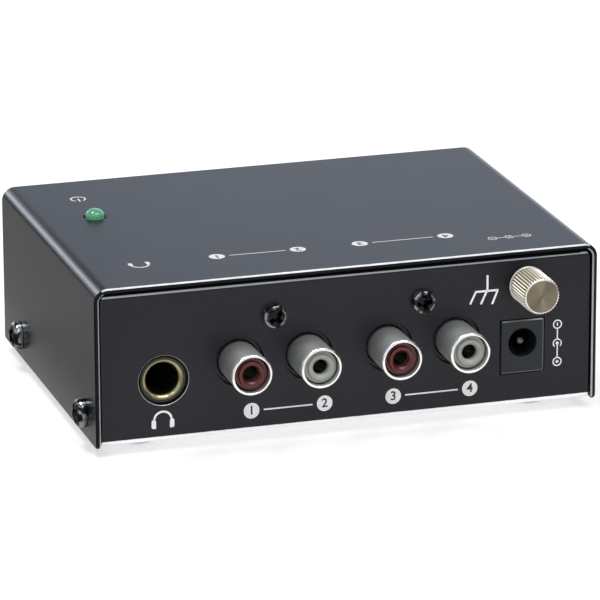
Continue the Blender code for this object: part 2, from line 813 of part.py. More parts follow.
def make_twin_sockets(plastic, nickel, red, white, spring, screw_metal):
    """Two moulded blocks with two phono sockets each, and the panel screws above them."""
    half = TWIN_WIDTH / 2
    tower = TOWER_WIDTH / 2
    shoulder = TWIN_Z + TWIN_SHOULDER
    crown = PANEL_SCREW_Z + TOWER_HEIGHT
    through = TWIN_DEPTH + OVERRUN
    tail = CONTACT_TAIL + 2 * FIT_GAP
    for name, centre in (("line_out_block", -TWIN_X), ("phono_in_block", TWIN_X)):
        outline = (
            (centre - half, SEAT_Z),
            (centre + half, SEAT_Z),
            (centre + half, shoulder),
            (centre + tower, shoulder),
            (centre + tower, crown),
            (centre - tower, crown),
            (centre - tower, shoulder),
            (centre - half, shoulder),
        )
        body = add_object(name, prism(outline, MOUNT_Y, MOUNT_Y + TWIN_DEPTH, "Y"), plastic)
        pockets = []
        for side in (-1, 1):
            x = centre + side * TWIN_PITCH / 2
            pockets.append(counterbore(x, MOUNT_Y, TWIN_Z, TWIN_POCKET, SHELL_SEAT, tail, through))
        pockets.append(drill(centre, MOUNT_Y, PANEL_SCREW_Z, PANEL_SCREW_HOLE, -through,
                             OVERRUN, FACING_FRONT, SMALL_SIDES))
        cut(body, pockets)

    sockets = ["line_out_right", "line_out_left", "phono_in_right", "phono_in_left"]
    places = [at(x, MOUNT_Y, TWIN_Z, FACING_FRONT) for x in socket_places()]
    shells = [socket + "_shell" for socket in sockets]
    first = add_object(shells[0], turned(shell_profile(), SIDES, ring=True), nickel, places[0])
    copies(shells[1:], first, places[1:])
    for index, socket in enumerate(sockets):
        paint = white if index % 2 else red
        add_object(socket + "_core", turned(core_profile(), SIDES, ring=True), paint, places[index])
    contacts = [socket + "_contact" for socket in sockets]
    first = add_object(contacts[0], turned(contact_profile(), SMALL_SIDES), spring, places[0])
    copies(contacts[1:], first, places[1:])

    head_y = PANEL_Y - FIT_GAP
    screw_places = [at(x, head_y, PANEL_SCREW_Z, FACING_FRONT) for x in (-TWIN_X, TWIN_X)]
    first = screw("panel_screw_left", PANEL_HEAD_DIAMETER, PANEL_HEAD_HEIGHT, PANEL_SHANK_DIAMETER,
                  PANEL_SCREW_LENGTH, screw_metal, screw_places[0])
    copies(["panel_screw_right"], first, screw_places[1:])


def shell_tip():
    """Distance from a phono block's face to the tip of its shells."""
    return MOUNT_Y - PANEL_Y + SOCKET_REACH


def shell_profile():
    lip = SHELL_LIP / 2
    barrel = SHELL_BARREL / 2
    bore = lip - SHELL_WALL
    tip = shell_tip()
    back = FIT_GAP - SHELL_SEAT
    return (
        (bore, back),
        (barrel, back),
        (barrel, tip - SHELL_LIP_LENGTH - SHELL_ROUND),
        (lip, tip - SHELL_LIP_LENGTH),
        (lip, tip - SHELL_ROUND),
        (lip - SHELL_ROUND, tip),
        (bore, tip),
    )


def core_profile():
    """The coloured insulator: a flanged tube with a narrower nose."""
    radius = CORE_DIAMETER / 2
    bore = CORE_BORE / 2
    inner = CONTACT_DIAMETER / 2 + FIT_GAP
    flange = SHELL_LIP / 2 - SHELL_WALL - FIT_GAP
    tip = shell_tip() - CORE_RECESS
    back = FIT_GAP - SHELL_SEAT
    return (
        (inner, back),
        (flange, back),
        (flange, back + CORE_FLANGE),
        (radius, back + CORE_FLANGE),
        (radius, tip - CORE_CHAMFER / 2),
        (radius - CORE_CHAMFER / 2, tip),
        (bore + CORE_CHAMFER, tip),
        (bore, tip - CORE_CHAMFER),
        (bore, tip - CORE_NOSE),
        (inner, tip - CORE_NOSE),
    )


def contact_profile():
    """The sprung sleeve that grips the plug's pin, with its rear tail."""
    radius = CONTACT_DIAMETER / 2
    bore = CONTACT_BORE / 2
    tail = CONTACT_TAIL / 2
    front = shell_tip() - CORE_RECESS - CORE_NOSE - FIT_GAP
    back = FIT_GAP - SHELL_SEAT
    end = -TWIN_DEPTH - CONTACT_TAIL_LENGTH
    return (
        (0, back + CONTACT_FLOOR),
        (bore, back + CONTACT_FLOOR),
        (bore, front),
        (radius, front),
        (radius, back),
        (tail, back),
        (tail, end),
        (0, end),
    )


def make_inlet(plastic, nickel, spring):
    """The power inlet: a moulded box with a bore, a centre pin and a spring leaf."""
    half = INLET_WIDTH / 2
    face = PANEL_Y - INLET_PROUD
    low = (INLET_X - half, face, SEAT_Z)
    high = (INLET_X + half, face + INLET_DEPTH, SEAT_Z + INLET_HEIGHT)
    shape = block(low, high)
    rim = [edge for edge in shape.edges if max(end.co.y for end in edge.verts) < face + INLET_BEVEL]
    bmesh.ops.bevel(shape, geom=rim, offset=INLET_BEVEL, segments=1, affect="EDGES")
    body = add_object("dc_inlet_body", shape, plastic)
    seat = INLET_PIN + 2 * FIT_GAP
    pin_end = INLET_BORE_DEPTH + INLET_PIN_SEAT
    cut(body, [counterbore(INLET_X, face, INLET_Z, INLET_BORE, INLET_BORE_DEPTH, seat, pin_end)])
    slot = INLET_SPRING_WIDTH / 2 + FIT_GAP
    anchor = face + INLET_BORE_DEPTH
    slot_low = (INLET_X - slot, anchor - INLET_SPRING_LENGTH - LEAF_SWING, SEAT_Z + INLET_SLOT_FLOOR)
    slot_high = (INLET_X + slot, anchor + LEAF_THICKNESS / 2 + FIT_GAP, INLET_Z - INLET_PIN)
    cut(body, [block(slot_low, slot_high)])

    tip = -INLET_PIN_RECESS
    radius = INLET_PIN / 2
    profile = (
        (0, tip),
        (radius - INLET_BEVEL, tip),
        (radius, tip - INLET_BEVEL),
        (radius, FIT_GAP - pin_end),
        (0, FIT_GAP - pin_end),
    )
    add_object("dc_inlet_pin", turned(profile, SMALL_SIDES), nickel,
               at(INLET_X, face, INLET_Z, FACING_FRONT))

    tail = INLET_AXIS_HEIGHT - INLET_SPRING_DROP - INLET_SLOT_FLOOR - FIT_GAP
    path = leaf_path(INLET_SPRING_LENGTH, INLET_SPRING_DROP, INLET_SPRING_REACH, INLET_SPRING_RAMP, tail)
    points = [(-along, INLET_SPRING_DROP - away) for along, away in path]
    width = INLET_SPRING_WIDTH / 2
    shape = prism(strip(points, LEAF_THICKNESS), -width, width, "X")
    add_object("dc_inlet_spring", shape, spring, at(INLET_X, anchor, INLET_Z - INLET_SPRING_DROP))


def make_earth_terminal(brass, nickel, wire_paint):
    """The knurled thumb screw, its captive washer, and the bush, lug, nut and lead behind it."""
    place = at(EARTH_X, PANEL_Y, EARTH_Z, FACING_FRONT)
    washer_low = FIT_GAP
    washer_high = washer_low + WASHER_THICKNESS
    radius = KNOB_DIAMETER / 2
    collar = KNOB_COLLAR / 2
    shank = EARTH_SHANK / 2
    root = washer_high + FIT_GAP
    shoulder = root + KNOB_COLLAR_LENGTH
    tip = EARTH_REACH
    knurl_low = shoulder + KNOB_CHAMFER
    knurl_high = tip - KNOB_CHAMFER
    core = radius - KNURL_DEPTH
    profile = (
        (0, tip - KNOB_DIMPLE_DEPTH),
        (KNOB_DIMPLE / 2, tip),
        (radius - KNOB_CHAMFER, tip),
        (core, knurl_high),
        (radius, knurl_high - KNURL_DEPTH, KNURL_DEPTH),
        (radius, knurl_low + KNURL_DEPTH, KNURL_DEPTH),
        (core, knurl_low),
        (collar, shoulder),
        (collar, root),
        (shank, root),
        (shank, -EARTH_SHANK_LENGTH),
        (0, -EARTH_SHANK_LENGTH),
    )
    add_object("earth_thumb_screw", turned(profile, 2 * KNURL_COUNT), brass, place)

    bore = shank + FIT_GAP
    outer = WASHER_DIAMETER / 2
    profile = ((bore, washer_low), (outer, washer_low), (outer, washer_high), (bore, washer_high))
    add_object("earth_washer", turned(profile, SIDES, ring=True), nickel, place)

    bore = BUSH_BORE / 2
    spigot = BUSH_SPIGOT / 2
    flange = BUSH_FLANGE / 2
    barrel = BUSH_BODY / 2
    seat = -SHEET - FIT_GAP
    ledge = seat - BUSH_FLANGE_THICKNESS
    profile = (
        (bore, -FIT_GAP),
        (spigot, -FIT_GAP),
        (spigot, seat),
        (flange, seat),
        (flange, ledge),
        (barrel, ledge),
        (barrel, ledge - BUSH_LENGTH),
        (bore, ledge - BUSH_LENGTH),
    )
    add_object("earth_bush", turned(profile, SMALL_SIDES, ring=True), nickel, place)

    lug_front = ledge - FIT_GAP
    lug_back = lug_front - LUG_THICKNESS
    hole = barrel + FIT_GAP
    eye = LUG_DIAMETER / 2
    profile = ((hole, lug_back), (eye, lug_back), (eye, lug_front), (hole, lug_front))
    lug = add_object("earth_lug", turned(profile, SMALL_SIDES, ring=True), nickel, place)
    tail_half = LUG_TAIL_WIDTH / 2
    tail_start = -(hole + eye) / 2
    tail_end = tail_start - LUG_TAIL_LENGTH
    join(lug, [block((tail_end, -tail_half, lug_back), (tail_start, tail_half, lug_front))], place)

    nut_front = lug_back - FIT_GAP
    nut_back = nut_front - NUT_THICKNESS
    corner = NUT_FLATS / 2 / cos(pi / 6)
    hexagon = [(corner * cos(pi / 3 * index), corner * sin(pi / 3 * index)) for index in range(6)]
    nut = add_object("earth_nut", prism(hexagon, nut_back, nut_front, "Z"), nickel, place)
    thread = drill(0, 0, 0, 2 * hole, nut_back - OVERRUN, nut_front + OVERRUN, FACING_UP, SMALL_SIDES)
    cut(nut, [thread], place)

    start_x = EARTH_X + tail_end + LUG_TAIL_WIDTH / 2
    lug_y = PANEL_Y - lug_back
    add_wire(start_x, lug_y + FIT_GAP, wire_paint)


def add_wire(start_x, start_y, paint):
    """The earth lead, from the lug's tail back and down to the board."""
    end_y = PANEL_BACK + WIRE_LANDING_SETBACK
    drop = EARTH_Z - SEAT_Z
    run = end_y - start_y
    knots = []
    for back, sideways, down in WIRE_ROUTE_SHARES:
        x = start_x + (EARTH_X - WIRE_SIDE_STEP - start_x) * sideways
        knots.append(Vector((x, start_y + run * back, EARTH_Z - drop * down)))
    points = smooth_route(knots, 3)
    curve = bpy.data.curves.new("earth_wire", "CURVE")
    curve.dimensions = "3D"
    curve.bevel_depth = WIRE_DIAMETER / 2
    curve.bevel_resolution = 2
    curve.use_fill_caps = True
    spline = curve.splines.new("POLY")
    spline.points.add(len(points) - 1)
    for target, point in zip(spline.points, points):
        target.co = (*point, 1.0)
    curve.materials.append(paint)
    item = bpy.data.objects.new("earth_wire", curve)
    bpy.context.scene.collection.objects.link(item)


def smooth_route(knots, steps):
    """Points along a smooth curve through the given ones."""
    points = []
    for index in range(len(knots) - 1):
        before = knots[max(index - 1, 0)]
        start = knots[index]
        end = knots[index + 1]
        after = knots[min(index + 2, len(knots) - 1)]
        for step in range(steps):
            t = step / steps
            points.append(0.5 * (2 * start + (end - before) * t
                                 + (2 * before - 5 * start + 4 * end - after) * t * t
                                 + (3 * start - before - 3 * end + after) * t ** 3))
    points.append(knots[-1])
    return points


def make_led(lens, plastic):
    """The green power light in the top, on its spacer tube."""
    radius = LED_DIAMETER / 2
    rim = LED_RIM / 2
    rim_top = -SHEET - FIT_GAP
    rim_low = rim_top - LED_RIM_THICKNESS
    dome_base = LED_STANDING - radius
    profile = [(0, LED_STANDING)]
    for index in (1, 2, 3, 4):
        angle = pi / 2 * index / 4
        profile.append((radius * sin(angle), dome_base + radius * cos(angle)))
    profile += [(radius, rim_top), (rim, rim_top), (rim, rim_low), (0, rim_low)]
    place = at(LED_X, LED_Y, TOP_Z)
    led = add_object("power_led", turned(profile, SMALL_SIDES), lens, place)
    half = LED_LEAD / 2
    leads = []
    for side in (-1, 1):
        x = side * LED_LEAD_SPREAD
        leads.append(block((x - half, -half, rim_low - LED_LEAD_LENGTH),
                           (x + half, half, rim_low + half)))
    join(led, leads, place)

    bore = SPACER_BORE / 2
    outer = bore + SPACER_WALL
    top = TOP_Z + rim_low - FIT_GAP - SEAT_Z
    profile = ((bore, 0), (outer, 0), (outer, top), (bore, top))
    add_object("led_spacer", turned(profile, SMALL_SIDES, ring=True), plastic, at(LED_X, LED_Y, SEAT_Z))


def make_board_parts(plastic, can_paint, metal):
    """Two amplifier chips, four smoothing capacitors and the voltage regulator."""
    half_length = CHIP_LENGTH / 2
    half_width = CHIP_WIDTH / 2
    first_leg = -CHIP_LEG_PITCH * (CHIP_LEGS - 1) / 2
    leg = CHIP_LEG / 2
    for name, x in (("amplifier_chip_left", -CHIP_X), ("amplifier_chip_right", CHIP_X)):
        place = at(x, PANEL_BACK + CHIP_SETBACK, SEAT_Z)
        crown = CHIP_STANDOFF + CHIP_HEIGHT
        body = block((-half_length, -half_width, CHIP_STANDOFF), (half_length, half_width, crown))
        chip = add_object(name, body, plastic, place)
        shoulder = CHIP_STANDOFF + CHIP_HEIGHT / 2
        legs = []
        for index in range(CHIP_LEGS):
            leg_x = first_leg + CHIP_LEG_PITCH * index
            for side in (-1, 1):
                near, far = sorted((side * (half_width - leg), side * (half_width + CHIP_LEG_SPREAD)))
                legs.append(block((leg_x - leg, near, 0), (leg_x + leg, far, shoulder)))
        join(chip, legs, place)

    radius = CAN_DIAMETER / 2
    profile = (
        (0, 0),
        (radius - CAN_GROOVE, 0),
        (radius, CAN_GROOVE),
        (radius, 3 * CAN_GROOVE),
        (radius - CAN_GROOVE, 4 * CAN_GROOVE),
        (radius, 5 * CAN_GROOVE),
        (radius, CAN_HEIGHT - CAN_GROOVE),
        (radius - CAN_GROOVE, CAN_HEIGHT),
        (0, CAN_HEIGHT),
    )
    places = []
    for row in range(2):
        for side in (-1, 1):
            y = PANEL_BACK + CAN_SETBACK + row * CAN_SPACING
            places.append(at(side * CAN_X, y, SEAT_Z))
    names = ["capacitor_front_left", "capacitor_front_right", "capacitor_rear_left",
             "capacitor_rear_right"]
    first = add_object(names[0], turned(profile, SMALL_SIDES), can_paint, places[0])
    copies(names[1:], first, places[1:])

    half = REGULATOR_WIDTH / 2
    low = REGULATOR_LEG_LENGTH
    high = low + REGULATOR_HEIGHT
    place = at(REGULATOR_X, PANEL_BACK + REGULATOR_SETBACK, SEAT_Z)
    shape = block((-half, 0, low), (half, REGULATOR_BODY, high))
    regulator = add_object("voltage_regulator", shape, plastic, place)
    tab = block((-half, REGULATOR_BODY - REGULATOR_TAB, high - REGULATOR_TAB),
                (half, REGULATOR_BODY, high + REGULATOR_TAB_RISE))
    leg = REGULATOR_LEG / 2
    middle = REGULATOR_BODY / 2
    additions = [tab]
    for index in (-1, 0, 1):
        x = index * REGULATOR_LEG_PITCH
        additions.append(block((x - leg, middle - leg, 0), (x + leg, middle + leg, low + leg)))
    join(regulator, additions, place)
    hole_z = high + REGULATOR_TAB_RISE / 2
    hole = drill(0, REGULATOR_BODY, hole_z, REGULATOR_TAB_HOLE, -OVERRUN, OVERRUN, FACING_FRONT,
                 TINY_SIDES)
    cut(regulator, [hole], place)


def main():
    clear_scene()
    black_paint = finish("black_satin_paint", (0.016, 0.017, 0.02), 0.42, 0.0)
    black_steel = finish("blackened_steel", (0.02, 0.02, 0.022), 0.32, 1.0)
    rubber = finish("black_rubber", (0.015, 0.015, 0.015), 0.8, 0.0)
    fibre = finish("green_fibreglass", (0.02, 0.11, 0.05), 0.5, 0.0)
    plastic = finish("black_moulding", (0.012, 0.013, 0.014), 0.45, 0.0)
    nickel = finish("satin_nickel", (0.55, 0.55, 0.53), 0.3, 1.0)
    gold = finish("gilt_ferrule", (0.75, 0.66, 0.42), 0.25, 1.0)
    brass = finish("turned_brass", (0.66, 0.58, 0.38), 0.28, 1.0)
    spring = finish("spring_bronze", (0.6, 0.45, 0.25), 0.35, 1.0)
    red = finish("red_moulding", (0.22, 0.012, 0.016), 0.35, 0.0)
    white = finish("white_moulding", (0.6, 0.61, 0.57), 0.4, 0.0)
    lens = finish("green_lens", (0.06, 0.36, 0.15), 0.15, 0.0)
    sleeve = finish("capacitor_sleeve", (0.02, 0.03, 0.09), 0.35, 0.0)
    insulation = finish("green_insulation", (0.05, 0.25, 0.06), 0.5, 0.0)

    make_cover(black_paint)
    make_chassis(black_paint)
    make_feet(rubber)
    make_cover_screws(black_steel)
    make_board(fibre)
    make_pillars(nickel, nickel)
    make_headphone_jack(plastic, gold, spring)
    make_twin_sockets(plastic, nickel, red, white, spring, black_steel)
    make_inlet(plastic, nickel, spring)
    make_earth_terminal(brass, nickel, insulation)
    make_led(lens, plastic)
    make_board_parts(plastic, sleeve, nickel)


main()
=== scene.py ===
# %% [markdown]
# # A small headphone amplifier in a folded steel case
#
# This lesson dresses a finished CAD model for a studio picture. The CAD model gives every solid its
# place and its motion. What is added here is what the eye looks for: round bends, broken sheet edges,
# turned rims, a knurl, moulded sockets, printed signs, and a surface for each material.
#
# First the CAD frame is loaded. Its pieces and their boxes are kept, and what is made here takes its
# sizes from them.

# %% Load the frame
import json
from math import atan2, cos, degrees, pi, radians, sin, sqrt

import bmesh
import bpy
from mathutils import Matrix, Vector


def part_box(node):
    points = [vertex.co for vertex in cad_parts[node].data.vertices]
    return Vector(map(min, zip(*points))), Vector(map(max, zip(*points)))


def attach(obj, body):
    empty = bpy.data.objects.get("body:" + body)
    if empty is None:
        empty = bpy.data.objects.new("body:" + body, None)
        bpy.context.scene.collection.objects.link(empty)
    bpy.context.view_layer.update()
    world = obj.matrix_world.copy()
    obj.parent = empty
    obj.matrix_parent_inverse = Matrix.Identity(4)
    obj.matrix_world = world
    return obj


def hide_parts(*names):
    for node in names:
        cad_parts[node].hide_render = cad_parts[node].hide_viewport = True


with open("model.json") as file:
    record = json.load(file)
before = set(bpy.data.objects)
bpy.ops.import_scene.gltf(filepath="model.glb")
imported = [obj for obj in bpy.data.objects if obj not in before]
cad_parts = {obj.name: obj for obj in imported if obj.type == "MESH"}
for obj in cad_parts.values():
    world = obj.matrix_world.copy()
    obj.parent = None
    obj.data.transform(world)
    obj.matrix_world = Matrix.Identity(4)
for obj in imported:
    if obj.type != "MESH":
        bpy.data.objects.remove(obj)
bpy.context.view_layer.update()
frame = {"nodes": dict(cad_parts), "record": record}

MM = 0.001
print("CAD nodes:", len(frame["nodes"]))

# %% [markdown]
# ## Places that several cells share
#
# The panel faces -Y and Z points up. Both the finishes and the shapes need these places of the CAD
# model, so each is written once.

# %% Shared places
BASE_Z = 2.3 * MM
TOP_Z = 35.1 * MM
HALF_WIDTH = 52 * MM
PANEL_Y = -32.65 * MM
JACK_X, JACK_Z = -38.002 * MM, 15.1 * MM
EARTH_X, EARTH_Z = 37.305 * MM, 27.7 * MM
print("Height of the case in mm:", round((TOP_Z - BASE_Z) / MM, 2))

# %% [markdown]
# ## The camera first
#
# A camera can be set by eye, or solved from straight edges whose real lengths are known. This one was
# solved from the case's corners, so it is written as a place, three turns and a long lens. A long lens
# from about a metre away keeps the case's edges nearly parallel, as in a catalogue picture.

# %% Camera
CAMERA_PLACE = Vector((-0.27704, -0.90284, 0.31723))
CAMERA_YAW = radians(17.059)
CAMERA_PITCH = radians(17.574)
CAMERA_ROLL = radians(-0.222)
CAMERA_LENS = 291.5


def camera_axes(yaw, pitch, roll):
    """Right, up and forward directions of a camera that looks along +Y before its turns."""
    forward = Vector((sin(yaw) * cos(pitch), cos(yaw) * cos(pitch), -sin(pitch)))
    level = Vector((cos(yaw), -sin(yaw), 0))
    upright = level.cross(forward)
    right = cos(roll) * level + sin(roll) * upright
    up = cos(roll) * upright - sin(roll) * level
    return right, up, forward


def make_camera():
    lens = bpy.data.cameras.new("camera")
    lens.sensor_width = 36
    lens.lens = CAMERA_LENS
    lens.clip_start = 0.01
    lens.clip_end = 20
    camera = bpy.data.objects.new("camera", lens)
    right, up, forward = camera_axes(CAMERA_YAW, CAMERA_PITCH, CAMERA_ROLL)
    turn = Matrix((right, up, -forward)).transposed().to_4x4()
    camera.matrix_world = Matrix.Translation(CAMERA_PLACE) @ turn
    bpy.context.scene.collection.objects.link(camera)
    bpy.context.scene.camera = camera
    return camera


camera = make_camera()
print("Camera distance in mm:", round(camera.location.length / MM))

# %% [markdown]
# ## Small helpers
#
# Colours are written as the sRGB hex values that a colour picker gives, and one function turns them
# into the linear numbers that Blender works with. Another adds a node with its settings and links in
# one call, for materials and for geometry alike. A third turns any object into a plain mesh object
# that sits at the origin, because the CAD frame wants each piece's place in its mesh. The last one
# hands a finished piece to the CAD body that carries it.

# %% Helpers for colour, nodes and plain meshes
def linear(hex_code):
    """Linear red, green, blue and alpha of an sRGB hex colour."""
    parts = [int(hex_code[i:i + 2], 16) / 255 for i in (1, 3, 5)]
    return tuple(c / 12.92 if c <= 0.04045 else ((c + 0.055) / 1.055) ** 2.4 for c in parts) + (1.0,)


def feed(node, values):
    """Links nodes and sockets to a node's inputs, and sets any other value on them.

    A node stands for its first output that is in use.
    """
    for key, value in values.items():
        if isinstance(value, bpy.types.Node):
            value = next(socket for socket in value.outputs if socket.enabled)
        if isinstance(value, bpy.types.NodeSocket):
            node.id_data.links.new(value, node.inputs[key])
        else:
            node.inputs[key].default_value = value


def add_node(tree, kind, values=None, **settings):
    """Adds a node with its settings and feeds its inputs."""
    node = tree.nodes.new(kind)
    for name, setting in settings.items():
        setattr(node, name, setting)
    feed(node, values or {})
    return node


def plain_mesh(source, name):
    """The evaluated shape of an object as a new object at the origin. The source is removed."""
    bpy.context.view_layer.update()
    depsgraph = bpy.context.evaluated_depsgraph_get()
    mesh = bpy.data.meshes.new_from_object(source.evaluated_get(depsgraph), depsgraph=depsgraph)
    mesh.transform(source.matrix_world)
    bpy.data.objects.remove(source, do_unlink=True)
    mesh.name = name
    item = bpy.data.objects.new(name, mesh)
    bpy.context.scene.collection.objects.link(item)
    return item


SHARP_ANGLE = radians(18)


def smooth(item, angle=SHARP_ANGLE):
    """Soft shading that stops at edges sharper than the angle."""
    item.data.shade_smooth()
    item.data.set_sharp_from_angle(angle=angle)
    return item


def mesh_object(name, shape, material=None):
    """A new object from a bmesh, with its faces turned outwards."""
    bmesh.ops.remove_doubles(shape, verts=shape.verts, dist=0.001 * MM)
    bmesh.ops.recalc_face_normals(shape, faces=shape.faces)
    mesh = bpy.data.meshes.new(name)
    shape.to_mesh(mesh)
    shape.free()
    if material:
        mesh.materials.append(material)
    item = bpy.data.objects.new(name, mesh)
    bpy.context.scene.collection.objects.link(item)
    return smooth(item)


def dress(item, body, slot, *nodes):
    """Hands a finished piece to a CAD body, in place of the nodes that it stands for."""
    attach(item, body)
    if nodes:
        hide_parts(*nodes)
    print(item.name, "triangles:", sum(len(p.vertices) - 2 for p in item.data.polygons))


print("White is", linear("#ffffff")[:3])

# %% [markdown]
# ## Materials
#
# Every finish here is built from what the real surface is: a base colour, a roughness, and one or two
# fine patterns whose scale comes from a real size in millimetres. A pattern's scale in Blender is the
# number of its features in a metre, so a helper turns a feature size in millimetres into that number.
# Numbers that are the same all over go straight onto the shader's own sockets.

# %% A helper that starts a finish
def new_finish(name, colour, roughness, **settings):
    """A Principled material. Settings are the shader's inputs, spelt with underscores."""
    material = bpy.data.materials.new(name)
    material.use_nodes = True
    tree = material.node_tree
    shader = tree.nodes["Principled BSDF"]
    feed(shader, {"Base Color": linear(colour), "Roughness": roughness})
    feed(shader, {key.replace("_", " "): value for key, value in settings.items()})
    material.diffuse_color = linear(colour)
    return material, tree, shader


def per_metre(millimetres):
    return 1 / (millimetres * MM)


def grain(tree, size, detail=2.0, stretch=(1, 1, 1)):
    """A noise whose features are about this many millimetres across."""
    place = add_node(tree, "ShaderNodeTexCoord")
    mapping = add_node(tree, "ShaderNodeMapping", {"Vector": place.outputs["Object"], "Scale": stretch})
    return add_node(tree, "ShaderNodeTexNoise", {
        "Vector": mapping, "Scale": per_metre(size), "Detail": detail})


def relief(shader, height, depth):
    """Bump from a height between 0 and 1 and a real depth in millimetres."""
    feed(shader, {"Normal": add_node(shader.id_data, "ShaderNodeBump", {
        "Height": height, "Distance": depth * MM, "Strength": 1.0})})


def uneven_gloss(shader, pattern, low, high):
    """Lets a pattern move the roughness between two values."""
    feed(shader, {"Roughness": add_node(shader.id_data, "ShaderNodeMapRange", {
        "Value": pattern, "From Min": 0.3, "From Max": 0.7, "To Min": low, "To Max": high})})


print("A 0.5 mm pattern has a scale of", per_metre(0.5))

# %% [markdown]
# ### Powder-coated sheet steel
#
# The case is mild steel sheet with a baked polyester powder coat. The powder flows out to a satin skin
# with a shallow orange peel of about half a millimetre. The skin is nearly black, so what the eye sees
# is mostly the room's light lying on it: strong where it is seen at a low angle, weak where it is seen
# from straight ahead. A low refractive index keeps the straight view dark.
#
# Powder draws back from sharp edges as it melts, and hands rub what is left. So the broken edges get a
# finish of their own: pale, partly metallic steel. It is wear, and also a painted highlight: it gives the
# case its light outlines under any lamp. The sheared rim beside them is tinted darker than the coat, a
# painted shade that makes it the darkest line of all, so the light one looks crisp.
#
# The bends are what a hand slides over, so their coat is burnished. A higher refractive index stands for
# that and lets them catch more light than the flat faces. Along a bend, height plus distance from the
# middle of the case is largest halfway round, so this sum tells the shader where a bend is.

# %% Powder coat for the cover
FLAT_IOR = 1.27
BURNISHED_IOR = 1.8
BEND_STARTS = 84.3 * MM
BEND_MIDDLE = 85.4 * MM

cover_paint, tree, shader = new_finish("satin_powder_coat_on_steel", "#13161a", 0.24, IOR=FLAT_IOR)
peel = grain(tree, 0.7, 1.0)
relief(shader, peel, 0.0012)
cloud = grain(tree, 9.0, 3.0)
uneven_gloss(shader, cloud, 0.22, 0.24)
place = add_node(tree, "ShaderNodeTexCoord")
split = add_node(tree, "ShaderNodeSeparateXYZ", {"Vector": place.outputs["Object"]})
aside = add_node(tree, "ShaderNodeMath", {0: split.outputs["X"]}, operation="ABSOLUTE")
reach = add_node(tree, "ShaderNodeMath", {0: aside, 1: split.outputs["Z"]})
burnish = add_node(tree, "ShaderNodeMapRange", {
    "Value": reach, "From Min": BEND_STARTS, "From Max": BEND_MIDDLE,
    "To Min": FLAT_IOR, "To Max": BURNISHED_IOR})
feed(shader, {"IOR": burnish})

# Pale edge finish: wear, and a painted highlight that stays light under any lamp.
edge_wear_and_highlight, tree, shader = new_finish("steel_bright_through_thin_coat", "#c3c6c8", 0.45, Metallic=0.35)
rub = grain(tree, 1.4, 3.0)
uneven_gloss(shader, rub, 0.36, 0.54)

# The sheared rim is tinted darker than the coat: painted shade.
rim_painted_shade, tree, shader = new_finish("thin_black_coat_on_a_cut_rim", "#0b0b0d", 0.35, IOR=1.25)
print("Cover finish:", cover_paint.name, "with edges of", edge_wear_and_highlight.name)

# %% [markdown]
# ### Zinc-plated sheet, painted on its faces
#
# The chassis is folded from zinc-plated sheet and sprayed from the front and from the back. The paint
# ends along the lower bends, where the plating is left bright, so a light band runs under the panel.
# One material holds both: height decides where the paint ends, with a slightly uneven edge. The paint is
# rougher than the cover's, so the panel mirrors less of the white floor and reads darker than the top.

# %% Chassis finish
PAINT_EDGE = BASE_Z + 1.25 * MM


def chassis_finish():
    material, tree, paint = new_finish("powder_coat_over_zinc_plating", "#15151d", 0.4, IOR=1.37)
    peel = grain(tree, 0.7, 1.0)
    relief(paint, peel, 0.0012)
    zinc = add_node(tree, "ShaderNodeBsdfPrincipled", {
        "Base Color": linear("#f4f5f6"), "Metallic": 1.0, "Roughness": 0.3})
    spangle = grain(tree, 2.5, 2.0)
    uneven_gloss(zinc, spangle, 0.26, 0.36)
    place = add_node(tree, "ShaderNodeTexCoord")
    split = add_node(tree, "ShaderNodeSeparateXYZ", {"Vector": place.outputs["Object"]})
    ragged = grain(tree, 1.5, 2.0)
    edge = add_node(tree, "ShaderNodeMath", {
        0: ragged, 1: 0.1 * MM, 2: split.outputs["Z"]}, operation="MULTIPLY_ADD")
    painted = add_node(tree, "ShaderNodeMapRange", {
        "Value": edge, "From Min": PAINT_EDGE, "From Max": PAINT_EDGE + 0.12 * MM})
    both = add_node(tree, "ShaderNodeMixShader", {0: painted, 1: zinc, 2: paint})
    feed(tree.nodes["Material Output"], {"Surface": both})
    return material


chassis_paint = chassis_finish()
print("Paint ends at a height of", round(PAINT_EDGE / MM, 2), "mm")

# %% [markdown]
# ### Plated and turned metals
#
# Metals take their colour from what they mirror, so their own colour is light and their roughness does
# the telling. The phono shells are blasted and then plated: the grain spreads the light over the barrel,
# and only the mouth, which plugs have polished, draws a sharp white ring; the rolled rim is also tinted
# paler, a painted highlight. The gilt ferrule's flat flange is tinted darker than its throat, a painted
# shade, so it reads as a thin gold ring with a dark border. Zinc fixings and tinned bronze lie inside the
# case. The inlet's pin is tinted dark, a painted shade for its place deep in the bore.

# %% Nickel, gilt, zinc and bronze
RIM_START = PANEL_Y - 7.75 * MM
POLISH_START = PANEL_Y - 8.55 * MM
THROAT_RADIUS = 3.8 * MM
FLANGE_RADIUS = 4.2 * MM


